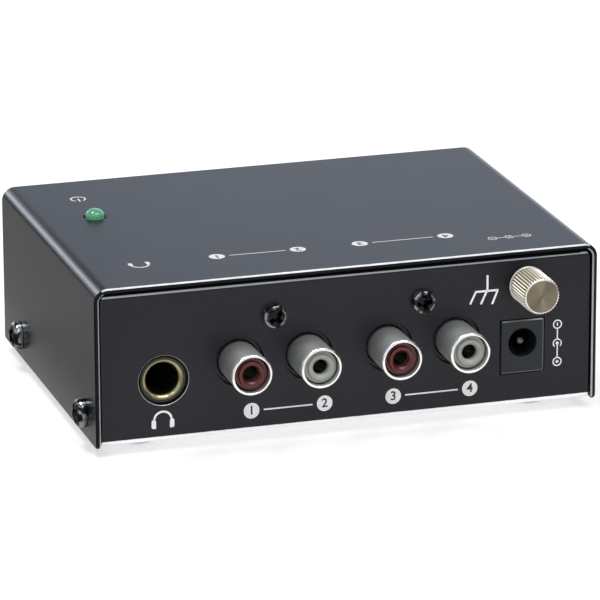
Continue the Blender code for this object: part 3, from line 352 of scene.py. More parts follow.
def nickel_finish():
    material, tree, shader = new_finish("nickel_plating_on_blasted_brass", "#bfc1be", 0.5, Metallic=0.6)
    blast = grain(tree, 0.25, 2.0)
    relief(shader, blast, 0.002)
    place = add_node(tree, "ShaderNodeTexCoord")
    split = add_node(tree, "ShaderNodeSeparateXYZ", {"Vector": place.outputs["Object"]})
    rim = add_node(tree, "ShaderNodeMapRange", {
        "Value": split.outputs["Y"], "From Min": RIM_START, "From Max": RIM_START - 0.1 * MM})
    mouth = add_node(tree, "ShaderNodeMapRange", {
        "Value": split.outputs["Y"], "From Min": POLISH_START, "From Max": POLISH_START - 0.1 * MM})
    for key, blasted, polished in (("Roughness", 0.46, 0.24), ("Metallic", 0.85, 1.0)):
        step = add_node(tree, "ShaderNodeMapRange", {
            "Value": mouth, "To Min": blasted, "To Max": polished})
        feed(shader, {key: step})
    # The rolled rim is tinted paler than the barrel: a painted highlight.
    tint = add_node(tree, "ShaderNodeMix", {
        "Factor": rim, "A": linear("#c9cbc9"), "B": linear("#eeeee9")}, data_type="RGBA")
    feed(shader, {"Base Color": tint})
    return material


satin_nickel = nickel_finish()

gilt, tree, shader = new_finish("gilt_flash_plating_on_brass", "#8d8259", 0.2, Metallic=1.0)
turning = grain(tree, 0.3, 1.0)
uneven_gloss(shader, turning, 0.2, 0.3)
from_middle = add_node(tree, "ShaderNodeVectorMath", {
    0: add_node(tree, "ShaderNodeTexCoord").outputs["Object"], 1: (JACK_X, 0, JACK_Z)},
    operation="SUBTRACT")
flat = add_node(tree, "ShaderNodeVectorMath", {0: from_middle, 1: (1, 0, 1)}, operation="MULTIPLY")
away = add_node(tree, "ShaderNodeVectorMath", {0: flat}, operation="LENGTH")
# The flange is tinted dark: painted shade.
flange = add_node(tree, "ShaderNodeMapRange", {
    "Value": away, "From Min": THROAT_RADIUS, "From Max": FLANGE_RADIUS})
tint = add_node(tree, "ShaderNodeMix", {
    "Factor": flange, "A": linear("#aca27c"), "B": linear("#38362b")}, data_type="RGBA")
feed(shader, {"Base Color": tint})

zinc_fixing, tree, shader = new_finish("zinc_plated_steel_fixing", "#c9cbc9", 0.35, Metallic=1.0)
spangle = grain(tree, 1.2, 2.0)
uneven_gloss(shader, spangle, 0.28, 0.42)

# The pin is tinted dark, a painted shade for its place deep in the bore.
pin_painted_shade, tree, shader = new_finish("tinned_brass_pin_dulled_by_plugs", "#59595a", 0.28, Metallic=1.0)
scuff = grain(tree, 0.3, 2.0, (1, 0.2, 1))
uneven_gloss(shader, scuff, 0.22, 0.34)

bronze, tree, shader = new_finish("tinned_phosphor_bronze", "#a3a39c", 0.36, Metallic=1.0)
rolling = grain(tree, 0.2, 2.0, (1, 0.1, 1))
uneven_gloss(shader, rolling, 0.24, 0.38)
print("Metals:", satin_nickel.name, gilt.name, zinc_fixing.name, bronze.name)

# %% [markdown]
# The thumb screw is bare brass straight from the lathe. The turned rings on its face lie about 0.1 mm
# apart. That is too fine to show at this distance, so they are drawn 0.25 mm apart. Their light fans
# come from anisotropy: the shader spreads its highlight across the rings, and the tangent runs round the
# screw's own axis. The ridges' tops are pale and the grooves are tinted dark, a painted shade that draws
# the knurl even where the light is flat. The face is tinted darker than the barrel, painted shade as
# well. Fingers keep the rim of the face polished.

# %% Turned brass
RING_SPACING = 0.25
FACE_RADIUS = 3.3 * MM
FACE_DEPTH = PANEL_Y - 8.48 * MM
GROOVE_RADIUS = 3.42 * MM
RIDGE_RADIUS = 3.68 * MM


def brass_finish():
    material, tree, shader = new_finish(
        "turned_free_cutting_brass", "#faf3df", 0.6, Metallic=0.9, Anisotropic=0.93,
        Anisotropic_Rotation=0.25)
    place = add_node(tree, "ShaderNodeTexCoord")
    centred = add_node(tree, "ShaderNodeMapping", {
        "Vector": place.outputs["Object"], "Location": (-EARTH_X, 0, -EARTH_Z)})
    flat = add_node(tree, "ShaderNodeVectorMath", {0: centred, 1: (1, 0, 1)}, operation="MULTIPLY")
    away = add_node(tree, "ShaderNodeVectorMath", {0: flat}, operation="LENGTH")
    rings = add_node(tree, "ShaderNodeMath", {
        0: away, 1: 2 * pi * per_metre(RING_SPACING)}, operation="MULTIPLY")
    wave = add_node(tree, "ShaderNodeMath", {0: rings}, operation="SINE")
    height = add_node(tree, "ShaderNodeMapRange", {"Value": wave, "From Min": -1.0, "From Max": 1.0})
    relief(shader, height, 0.0015)
    around = add_node(tree, "ShaderNodeVectorMath", {0: flat, 1: (0, 1, 0)}, operation="CROSS_PRODUCT")
    feed(shader, {"Tangent": around})
    split = add_node(tree, "ShaderNodeSeparateXYZ", {"Vector": place.outputs["Object"]})
    outer = add_node(tree, "ShaderNodeMath", {
        0: split.outputs["Y"], 1: FACE_DEPTH}, operation="LESS_THAN")
    inner = add_node(tree, "ShaderNodeMath", {0: away, 1: FACE_RADIUS}, operation="LESS_THAN")
    on_face = add_node(tree, "ShaderNodeMath", {0: outer, 1: inner}, operation="MULTIPLY")
    shade = add_node(tree, "ShaderNodeMapRange", {"Value": height, "To Min": 0.85, "To Max": 1.0})
    strength = add_node(tree, "ShaderNodeMath", {0: on_face, 1: shade}, operation="MULTIPLY")
    # The grooves are tinted dark: painted shade.
    groove = add_node(tree, "ShaderNodeMapRange", {
        "Value": away, "From Min": GROOVE_RADIUS, "From Max": RIDGE_RADIUS,
        "To Min": 1.0, "To Max": 0.0})
    behind = add_node(tree, "ShaderNodeMath", {
        0: split.outputs["Y"], 1: FACE_DEPTH}, operation="GREATER_THAN")
    groove_shade = add_node(tree, "ShaderNodeMath", {0: groove, 1: behind}, operation="MULTIPLY")
    rim = add_node(tree, "ShaderNodeMath", {0: outer, 1: inner}, operation="GREATER_THAN")
    for key, turned, polished in (("Roughness", 0.6, 0.28), ("Anisotropic", 0.93, 0.0)):
        step = add_node(tree, "ShaderNodeMapRange", {
            "Value": rim, "To Min": turned, "To Max": polished})
        feed(shader, {key: step})
    barrel = add_node(tree, "ShaderNodeMix", {
        "Factor": groove_shade, "A": linear("#fdf8ea"), "B": linear("#84744e")}, data_type="RGBA")
    # The face is tinted darker than the barrel: painted shade.
    tint = add_node(tree, "ShaderNodeMix", {
        "Factor": strength, "A": barrel, "B": linear("#897d67")}, data_type="RGBA")
    feed(shader, {"Base Color": tint})
    pure = add_node(tree, "ShaderNodeMapRange", {"Value": on_face, "To Min": 0.9, "To Max": 1.0})
    feed(shader, {"Metallic": pure})
    return material


turned_brass = brass_finish()
print("Brass finish:", turned_brass.name)

# %% [markdown]
# ### Black screws
#
# The screws are steel with a black oxide finish under a film of oil. They are darker than the case and
# glossier. Their rounded shoulder is tinted pale in broken arcs, which is wear and a painted highlight.
# The shoulder is an attribute that each screw's mesh carries, and a noise breaks it up.

# %% Blackened steel
black_steel, tree, shader = new_finish(
    "oiled_black_oxide_steel", "#0a0a0b", 0.22, Specular_IOR_Level=0.12, Coat_Weight=0.15,
    Coat_Roughness=0.1)
rub = grain(tree, 0.6, 2.0)
uneven_gloss(shader, rub, 0.18, 0.34)
shoulder = add_node(tree, "ShaderNodeAttribute", attribute_name="shoulder")
patch = grain(tree, 1.7, 1.0)
spread = add_node(tree, "ShaderNodeMapRange", {"Value": patch, "From Min": 0.42, "From Max": 0.5})
wear_and_painted_highlight = add_node(tree, "ShaderNodeMath", {0: shoulder.outputs["Fac"], 1: spread}, operation="MULTIPLY")
feed(shader, {"Metallic": wear_and_painted_highlight})
# Pale arcs on the shoulder: wear and a painted highlight.
tint = add_node(tree, "ShaderNodeMix", {
    "Factor": wear_and_painted_highlight, "A": linear("#0a0a0b"), "B": linear("#9c9e9f")}, data_type="RGBA")
feed(shader, {"Base Color": tint})
print("Screw finish:", black_steel.name)

# %% [markdown]
# ### Moulded plastics
#
# The socket bodies are glass-filled nylon, the inlet is dark grey PBT and the socket cores are coloured
# PBT. Mouldings copy the fine spark-eroded grain of their tool, about 0.15 mm, drawn here as 0.3 mm.
# The coloured cores let a little light into the surface, which softens their shadows. The inlet's front
# edge gets a paler, glossier finish on all but its left side, a painted highlight. The feet are cast
# clear: they let the white floor shine through, and that keeps the line under the case light.

# %% Mouldings
def moulding(name, colour, roughness, **settings):
    material, tree, shader = new_finish(name, colour, roughness, **settings)
    texture = grain(tree, 0.3, 2.0)
    relief(shader, texture, 0.003)
    uneven_gloss(shader, texture, roughness - 0.05, roughness + 0.05)
    return material


black_nylon = moulding("moulded_glass_filled_nylon", "#151617", 0.5)
grey_pbt = moulding("moulded_dark_grey_pbt", "#1d2226", 0.45, IOR=1.4)
red_pbt = moulding("moulded_red_pbt", "#561013", 0.3, Subsurface_Weight=0.15, Subsurface_Scale=0.4 * MM)
white_pbt = moulding("moulded_white_pbt", "#a9aca5", 0.32, Subsurface_Weight=0.15,
                     Subsurface_Scale=0.4 * MM)
inlet_edge_highlight = moulding("burnished_edge_of_grey_pbt", "#8a8f93", 0.3)
soft_clear, tree, shader = new_finish(
    "cast_clear_polyurethane", "#f1f4f4", 0.18, IOR=1.48, Transmission_Weight=0.85)
haze = grain(tree, 0.8, 2.0)
uneven_gloss(shader, haze, 0.14, 0.26)
wire_cover = moulding("extruded_green_pvc", "#2e7d32", 0.35)
print("Mouldings:", black_nylon.name, grey_pbt.name, red_pbt.name, white_pbt.name)

# %% [markdown]
# ### The green light
#
# The power light is a clear epoxy dome, dyed green right through. It lets light in, so it is partly
# transmissive, and a low emission stands in for the chip that glows inside.

# %% Green lens
green_lens, tree, shader = new_finish(
    "dyed_green_epoxy_lens", "#3d7d5b", 0.08, IOR=1.53, Transmission_Weight=0.2, Coat_Weight=0.6,
    Emission_Color=linear("#7ad3a5"), Emission_Strength=0.24)
depth = grain(tree, 1.2, 1.0)
uneven_gloss(shader, depth, 0.05, 0.12)
print("Lens finish:", green_lens.name)

# %% [markdown]
# ### Board, sleeves and printing ink
#
# Inside the case lie a glass-fibre board with green solder resist and a few sleeved capacitors. The
# case's signs are screen-printed in white ink, which lies on the paint as a thin, slightly dull film.
# The panel's ink glows with a low emission, painted light that makes it whiter than the light on the
# panel allows.

# %% Board, sleeve and ink
board_resist, tree, shader = new_finish("green_solder_resist_on_glass_fibre", "#1d5a34", 0.35)
tracks = grain(tree, 3.0, 0.0, (1, 0.25, 1))
tint = add_node(tree, "ShaderNodeValToRGB", {"Fac": tracks})
tint.color_ramp.elements[0].position = 0.47
tint.color_ramp.elements[0].color = linear("#194d2d")
tint.color_ramp.elements[1].position = 0.53
tint.color_ramp.elements[1].color = linear("#2c7342")
feed(shader, {"Base Color": tint})

can_sleeve, tree, shader = new_finish("shrunk_dark_blue_pet_sleeve", "#1b2452", 0.3)
wrinkle = grain(tree, 0.8, 2.0, (1, 1, 0.3))
relief(shader, wrinkle, 0.01)


def printed(name, colour, roughness, spread, **settings):
    """A film that was pressed through a printing mesh, whose marks show in its gloss."""
    material, tree, shader = new_finish(name, colour, roughness, **settings)
    mesh_marks = grain(tree, 0.12, 1.0)
    uneven_gloss(shader, mesh_marks, roughness - spread, roughness + spread)
    return material


white_ink = printed("screen_printed_white_ink", "#d6d8dc", 0.5, 0.08)
# Its emission is painted light.
glowing_white_ink = printed("screen_printed_white_ink_with_brightener", "#ffffff", 0.5, 0.08,
                     Emission_Color=linear("#f4f7ff"), Emission_Strength=0.10)
dark_ink = printed("bare_paint_inside_a_printed_disc", "#17181b", 0.4, 0.06)
print("Ink:", white_ink.name, glowing_white_ink.name, dark_ink.name)

# %% [markdown]
# ## Dressing the CAD pieces that stay
#
# Pieces inside the case, and small ones whose CAD shape is already right, keep their own mesh. They
# only get a finish in place of their plain one, through the material slots of the record.

# %% Finishes for kept nodes
FINISH_OF_SLOT = {
    "cover_paint": cover_paint,
    "chassis_paint": chassis_paint,
    "foot_rubber": soft_clear,
    "case_screw": black_steel,
    "board_fibre": board_resist,
    "board_fixing": zinc_fixing,
    "black_moulding": black_nylon,
    "inlet_moulding": grey_pbt,
    "gilt_ferrule": gilt,
    "spring_bronze": bronze,
    "satin_nickel": satin_nickel,
    "red_moulding": red_pbt,
    "white_moulding": white_pbt,
    "turned_brass": turned_brass,
    "wire_cover": wire_cover,
    "green_lens": green_lens,
    "can_sleeve": can_sleeve,
}


def dress_cad_nodes():
    for part in frame["record"]["subparts"]:
        mesh = frame["nodes"][part["node"]].data
        finish = FINISH_OF_SLOT[part["material_slot"]]
        for index in range(len(mesh.materials)):
            mesh.materials[index] = finish
        if not mesh.materials:
            mesh.materials.append(finish)
    return len(frame["record"]["subparts"])


print("CAD nodes with a new finish:", dress_cad_nodes())

# %% [markdown]
# ## Folded sheet metal
#
# A press brake folds a flat blank along straight lines. The same is done here. The blank is drawn flat,
# with its holes, as a 2D curve: Blender fills it, gives it its thickness and rounds its edges, so every
# hole and rim gets the small broken edge that catches the light. It could also be a box with Boolean
# holes and a Bevel modifier, but bevels along Boolean cuts often tangle, and a flat blank never does.

# %% A flat blank from outlines
SHEET = 1.0 * MM
EDGE_ROUND = 0.28 * MM
HOLE_STEPS = 96
RIM_FACING = 0.3
FLAT_FACING = 0.95


def ring_of_points(x, y, radius, steps=HOLE_STEPS):
    return [(x + radius * cos(2 * pi * i / steps), y + radius * sin(2 * pi * i / steps))
            for i in range(steps)]


def rounded_outline(corners, steps=8):
    """A closed outline. Each corner is x, y and the radius that it is rounded with."""
    outline = []
    for index, (x, y, radius) in enumerate(corners):
        here = Vector((x, y))
        before = (Vector(corners[index - 1][:2]) - here).normalized()
        after = (Vector(corners[(index + 1) % len(corners)][:2]) - here).normalized()
        centre = here + (before + after) * radius
        for step in range(steps + 1):
            angle = pi / 2 * step / steps
            point = centre - after * radius * cos(angle) - before * radius * sin(angle)
            outline.append(tuple(point))
    return outline


def flat_blank(name, outlines, low, high, edge=EDGE_ROUND):
    """A plate between two heights. The first outline is its rim and the others are holes."""
    sketch = bpy.data.curves.new(name, "CURVE")
    sketch.dimensions = "2D"
    sketch.fill_mode = "BOTH"
    sketch.bevel_depth = edge
    sketch.bevel_resolution = 0
    sketch.extrude = (high - low) / 2 - edge
    sketch.offset = -edge
    for outline in outlines:
        spline = sketch.splines.new("POLY")
        spline.points.add(len(outline) - 1)
        for point, (x, y) in zip(spline.points, outline):
            point.co = (x, y, 0, 1)
        spline.use_cyclic_u = True
    item = bpy.data.objects.new(name, sketch)
    item.location.z = (high + low) / 2
    bpy.context.scene.collection.objects.link(item)
    return plain_mesh(item, name)


def mark_edges(item, pale_edge_test):
    """Marks a blank's rim with 2, and with 1 where its edge is broken and a test picks it as pale: wear
    and a painted highlight.
    """
    mesh = item.data
    mesh.attributes.new("edge", "INT", "FACE")
    marks = mesh.attributes["edge"].data
    for face in mesh.polygons:
        slanting = RIM_FACING < abs(face.normal.z) < FLAT_FACING
        wear_and_painted_highlight = slanting and pale_edge_test(face.center, face.normal)
        marks[face.index].value = 1 if wear_and_painted_highlight else 2 * int(abs(face.normal.z) < FLAT_FACING)


def finish_edges(item, *finishes):
    """Gives the marked faces their own finishes, once the sheet is folded."""
    mesh = item.data
    for finish in finishes:
        mesh.materials.append(finish)
    for face, mark in zip(mesh.polygons, mesh.attributes["edge"].data):
        if 0 < mark.value < len(mesh.materials):
            face.material_index = mark.value
    # The pale edge faces are wear and a painted highlight.
    print(item.name, "bare edge faces:", sum(mark.value == 1 for mark in mesh.attributes["edge"].data))
    mesh.attributes.remove(mesh.attributes["edge"])
    return item


def score(item, places, axis):
    """Cuts extra edges across a plate at these places along an axis, where it has to bend."""
    shape = bmesh.new()
    shape.from_mesh(item.data)
    bmesh.ops.remove_doubles(shape, verts=shape.verts, dist=0.001 * MM)
    for place in places:
        everything = list(shape.verts) + list(shape.edges) + list(shape.faces)
        bmesh.ops.bisect_plane(shape, geom=everything, dist=0.0001 * MM,
                               plane_co=Vector(axis) * place, plane_no=Vector(axis))
    bmesh.ops.recalc_face_normals(shape, faces=shape.faces)
    shape.to_mesh(item.data)
    shape.free()


print("Sheet thickness in mm:", SHEET / MM)

# %% [markdown]
# Folding follows a rule, so Geometry Nodes do it. For one bend line, each point's distance past the
# line is measured. Up to the length of the bend, that distance becomes an angle. The point is pulled
# back to the line and turned by that angle round the bend's centre. Points beyond the bend all turn by
# a right angle, so they carry on straight. Several lines are folded one after the other, from the rim
# inwards, as on the real machine. Each radius and line is a named input.

# %% Geometry Nodes that fold a sheet
def start_tree(name, source, result, inputs):
    """A geometry tree. One geometry goes in with other inputs and a finish, and another comes out."""
    tree = bpy.data.node_groups.new(name, "GeometryNodeTree")
    face = tree.interface
    for label, kind in ((source, "Geometry"), *inputs, ("Finish", "Material")):
        face.new_socket(label, in_out="INPUT", socket_type="NodeSocket" + kind)
    face.new_socket(result, in_out="OUTPUT", socket_type="NodeSocketGeometry")
    return tree, add_node(tree, "NodeGroupInput")


def end_tree(tree, given, geometry, result):
    """Makes copies real, gives the geometry its finish and hands it out."""
    real = add_node(tree, "GeometryNodeRealizeInstances", {"Geometry": geometry})
    coated = add_node(tree, "GeometryNodeSetMaterial", {
        "Geometry": real, "Material": given.outputs["Finish"]})
    add_node(tree, "NodeGroupOutput", {result: coated})
    return tree


def fold_once(tree, given, point, direction, label, across=None):
    """Nodes for one bend. Returns the node of the moved position."""
    line = given.outputs[label + " line"]
    radius = given.outputs[label + " radius"]
    thickness = given.outputs["Thickness"]
    face = given.outputs["Outer face"]
    side = given.outputs["Fold side"]
    middle = add_node(tree, "ShaderNodeMath", {
        0: thickness, 1: -0.5, 2: radius}, operation="MULTIPLY_ADD")
    length = add_node(tree, "ShaderNodeMath", {0: middle, 1: pi / 2}, operation="MULTIPLY")
    run = add_node(tree, "ShaderNodeVectorMath", {0: point, 1: direction}, operation="DOT_PRODUCT")
    past = add_node(tree, "ShaderNodeMath", {0: run, 1: line}, operation="SUBTRACT")
    amount = add_node(tree, "ShaderNodeClamp", {"Value": past, "Min": 0.0, "Max": length})
    if across:
        place = add_node(tree, "ShaderNodeVectorMath", {0: point, 1: across}, operation="DOT_PRODUCT")
        middle_place = add_node(tree, "ShaderNodeMath", {
            0: place, 1: given.outputs["Flange middle"]}, operation="SUBTRACT")
        size = add_node(tree, "ShaderNodeMath", {0: middle_place}, operation="ABSOLUTE")
        inside = add_node(tree, "ShaderNodeMath", {
            0: size, 1: given.outputs["Flange half length"]}, operation="LESS_THAN")
        amount = add_node(tree, "ShaderNodeMath", {0: amount, 1: inside}, operation="MULTIPLY")
    back = add_node(tree, "ShaderNodeVectorMath", {0: direction, "Scale": amount}, operation="SCALE")
    pulled = add_node(tree, "ShaderNodeVectorMath", {0: point, 1: back}, operation="SUBTRACT")
    out = add_node(tree, "ShaderNodeVectorMath", {0: direction, "Scale": line}, operation="SCALE")
    height = add_node(tree, "ShaderNodeMath", {0: radius, 1: side, 2: face}, operation="MULTIPLY_ADD")
    rise = add_node(tree, "ShaderNodeCombineXYZ", {"Z": height})
    centre = add_node(tree, "ShaderNodeVectorMath", {0: out, 1: rise}, operation="ADD")
    angle = add_node(tree, "ShaderNodeMath", {0: amount, 1: middle}, operation="DIVIDE")
    signed = add_node(tree, "ShaderNodeMath", {0: angle, 1: side}, operation="MULTIPLY")
    hinge = Vector(direction).cross(Vector((0, 0, 1)))
    return add_node(tree, "ShaderNodeVectorRotate", {
        "Vector": pulled, "Center": centre, "Axis": tuple(hinge),
        "Angle": signed}, rotation_type="AXIS_ANGLE")


def fold_tree(name, bends):
    """A tree that folds a blank. Bends are label, direction and, for a flange, the axis along it."""
    numbers = ["Thickness", "Outer face", "Fold side", "Flange middle", "Flange half length"]
    for label, direction, across in bends:
        numbers += [label + " line", label + " radius"]
    tree, given = start_tree(name, "Blank", "Sheet", [(number, "Float") for number in numbers])
    point = add_node(tree, "GeometryNodeInputPosition")
    for label, direction, across in bends:
        point = fold_once(tree, given, point, direction, label, across)
    folded = add_node(tree, "GeometryNodeSetPosition", {
        "Geometry": given.outputs["Blank"], "Position": point})
    return end_tree(tree, given, folded, "Sheet")


def run_tree(item, tree, values, name, angle=SHARP_ANGLE):
    """Runs a geometry tree on an object with named inputs, and keeps the result as a plain mesh."""
    modifier = item.modifiers.new(tree.name, "NODES")
    modifier.node_group = tree
    for entry in tree.interface.items_tree:
        if entry.item_type == "SOCKET" and entry.in_out == "INPUT" and entry.name in values:
            modifier[entry.identifier] = values[entry.name]
    return smooth(plain_mesh(item, name), angle)


def bend_length(radius):
    """The blank's length that goes into a bend of this outer radius, in the middle of the sheet."""
    return (radius - SHEET / 2) * pi / 2


def bend_places(line, radius, side, steps=10):
    """Where a plate is scored for one bend: even steps in the bend and one just outside each end."""
    length = bend_length(radius)
    margin = 0.3 * MM
    runs = [-margin] + [length * i / steps for i in range(steps + 1)] + [length + margin]
    return [side * (line + run) for run in runs]


print("Fold helpers ready")

# %% [markdown]
# ### The cover
#
# The cover is an inverted U. Its blank is as wide as the top, both bends and both walls. The bends'
# outer radius is 2.8 mm. The hole for the light and four screw holes are punched while it is flat.

# %% Cover
FRONT_Y = -33.35 * MM
REAR_Y = 41.65 * MM
COVER_BEND = 2.8 * MM
COVER_CORNER = 1.0 * MM
LED_PLACE = (-38.896 * MM, 15.25 * MM)
LED_HOLE = 4.5 * MM
SCREW_Z = 7.2 * MM
SCREW_HOLE = 3.5 * MM
SCREW_YS = (FRONT_Y + 9.3 * MM, REAR_Y - 13.8 * MM)


def make_cover():
    line = HALF_WIDTH - COVER_BEND
    wall = TOP_Z - COVER_BEND - BASE_Z
    half = line + bend_length(COVER_BEND) + wall
    rim = rounded_outline([
        (-half, FRONT_Y, COVER_CORNER), (half, FRONT_Y, COVER_CORNER),
        (half, REAR_Y, COVER_CORNER), (-half, REAR_Y, COVER_CORNER)])
    outlines = [rim, ring_of_points(*LED_PLACE, LED_HOLE / 2)]
    reach = half - (SCREW_Z - BASE_Z)
    for y in SCREW_YS:
        outlines.append(ring_of_points(-reach, y, SCREW_HOLE / 2))
        outlines.append(ring_of_points(reach, y, SCREW_HOLE / 2))
    blank = flat_blank("cover_blank", outlines, TOP_Z - SHEET, TOP_Z)

    # The pale edges picked here are wear and a painted highlight.
    def pale_edge_test(spot, facing):
        at_end = spot.y < FRONT_Y + 0.3 * MM or spot.y > REAR_Y - 0.3 * MM
        return at_end and (facing.z > 0) == (abs(spot.x) < line + COVER_BEND / 3)

    score(blank, bend_places(line, COVER_BEND, 1, 14) + bend_places(line, COVER_BEND, -1, 14), (1, 0, 0))
    mark_edges(blank, pale_edge_test)
    tree = fold_tree("fold_cover", [("Right", (1, 0, 0), None), ("Left", (-1, 0, 0), None)])
    folded = run_tree(blank, tree, {
        "Thickness": SHEET, "Outer face": TOP_Z, "Fold side": -1.0, "Right line": line,
        "Right radius": COVER_BEND, "Left line": line, "Left radius": COVER_BEND,
        "Finish": cover_paint}, "cover")
    # The cut rims take the darker tint, a painted shade.
    return finish_edges(folded, edge_wear_and_highlight, rim_painted_shade)


cover = make_cover()
dress(cover, "case", "cover_paint", "top_cover")

# %% [markdown]
# ### The chassis
#
# The chassis is one blank too: floor, connector panel, plain rear panel, a narrow lip along the top of
# both, and a flange on each side that the cover screws bite into. Slits free the flanges from the
# panels, so that both can be folded up. All holes of the connector panel are punched in the flat. A
# thin pale band along the lip's bend, in the finish of the pale edges, is a painted highlight.

# %% Chassis
REAR_PANEL_Y = 40.95 * MM
CHASSIS_HALF = 50.7 * MM
CHASSIS_BEND = 1.75 * MM
LIP_BEND = 1.3 * MM
LIP_WIDTH = 5.0 * MM
PANEL_TOP = 33.8 * MM
PANEL_CORNER = 1.8 * MM
FLANGE_HEIGHT = 8.5 * MM
FLANGE_FREE = 3.75 * MM
SLIT = 0.3 * MM
PHONO_XS = (-22.502 * MM, -8.302 * MM, 8.302 * MM, 22.502 * MM)
PHONO_Z = 17.4 * MM
PHONO_HOLE = 10.0 * MM
JACK_HOLE = 10.2 * MM
PANEL_SCREW_X = 15.402 * MM
PANEL_SCREW_Z = 26.3 * MM
PANEL_SCREW_HOLE = 3.2 * MM
EARTH_HOLE = 6.2 * MM
PILLAR_HOLE = 3.6 * MM
INLET_X = 36.452 * MM
INLET_GAP = 0.2 * MM
LIP_HIGHLIGHT_SHARES = (0.20, 0.36)


def panel_run(z):
    """How far a height on an upright panel lies past its lower bend line, measured on the blank."""
    return bend_length(CHASSIS_BEND) + z - BASE_Z - CHASSIS_BEND


def panel_top_outline():
    """Half width and run of points up the panel's rounded corner, over the lip's bend and its edge."""
    centre = PANEL_TOP - PANEL_CORNER
    points = []
    lip_line = panel_run(PANEL_TOP - LIP_BEND)
    for step in range(5):
        z = centre + (PANEL_TOP - LIP_BEND - centre) * step / 4
        points.append((z, panel_run(z)))
    for step in range(1, 9):
        angle = pi / 2 * step / 8
        z = PANEL_TOP - LIP_BEND + LIP_BEND * sin(angle)
        points.append((z, lip_line + bend_length(LIP_BEND) * step / 8))
    outline = []
    for z, run in points:
        inset = PANEL_CORNER - sqrt(max(PANEL_CORNER ** 2 - (z - centre) ** 2, 0))
        outline.append((CHASSIS_HALF - inset, run))
    end = lip_line + bend_length(LIP_BEND) + LIP_WIDTH - LIP_BEND
    outline.append((outline[-1][0], end))
    return outline


def chassis_rim(front_line, rear_line):
    """The blank's outline, drawn round from the right of the front panel."""
    flange_line = CHASSIS_HALF - CHASSIS_BEND
    flange = flange_line + bend_length(CHASSIS_BEND) + FLANGE_HEIGHT - CHASSIS_BEND
    low = PANEL_Y + FLANGE_FREE
    high = REAR_PANEL_Y - FLANGE_FREE
    top = panel_top_outline()
    right = [(x, front_line - run) for x, run in reversed(top)]
    right += [(CHASSIS_HALF, low - SLIT), (flange_line, low - SLIT), (flange_line, low)]
    right += [(flange, low), (flange, high), (flange_line, high), (flange_line, high + SLIT)]
    right += [(CHASSIS_HALF, high + SLIT)]
    right += [(x, rear_line + run) for x, run in top]
    return right + [(-x, y) for x, y in reversed(right)]


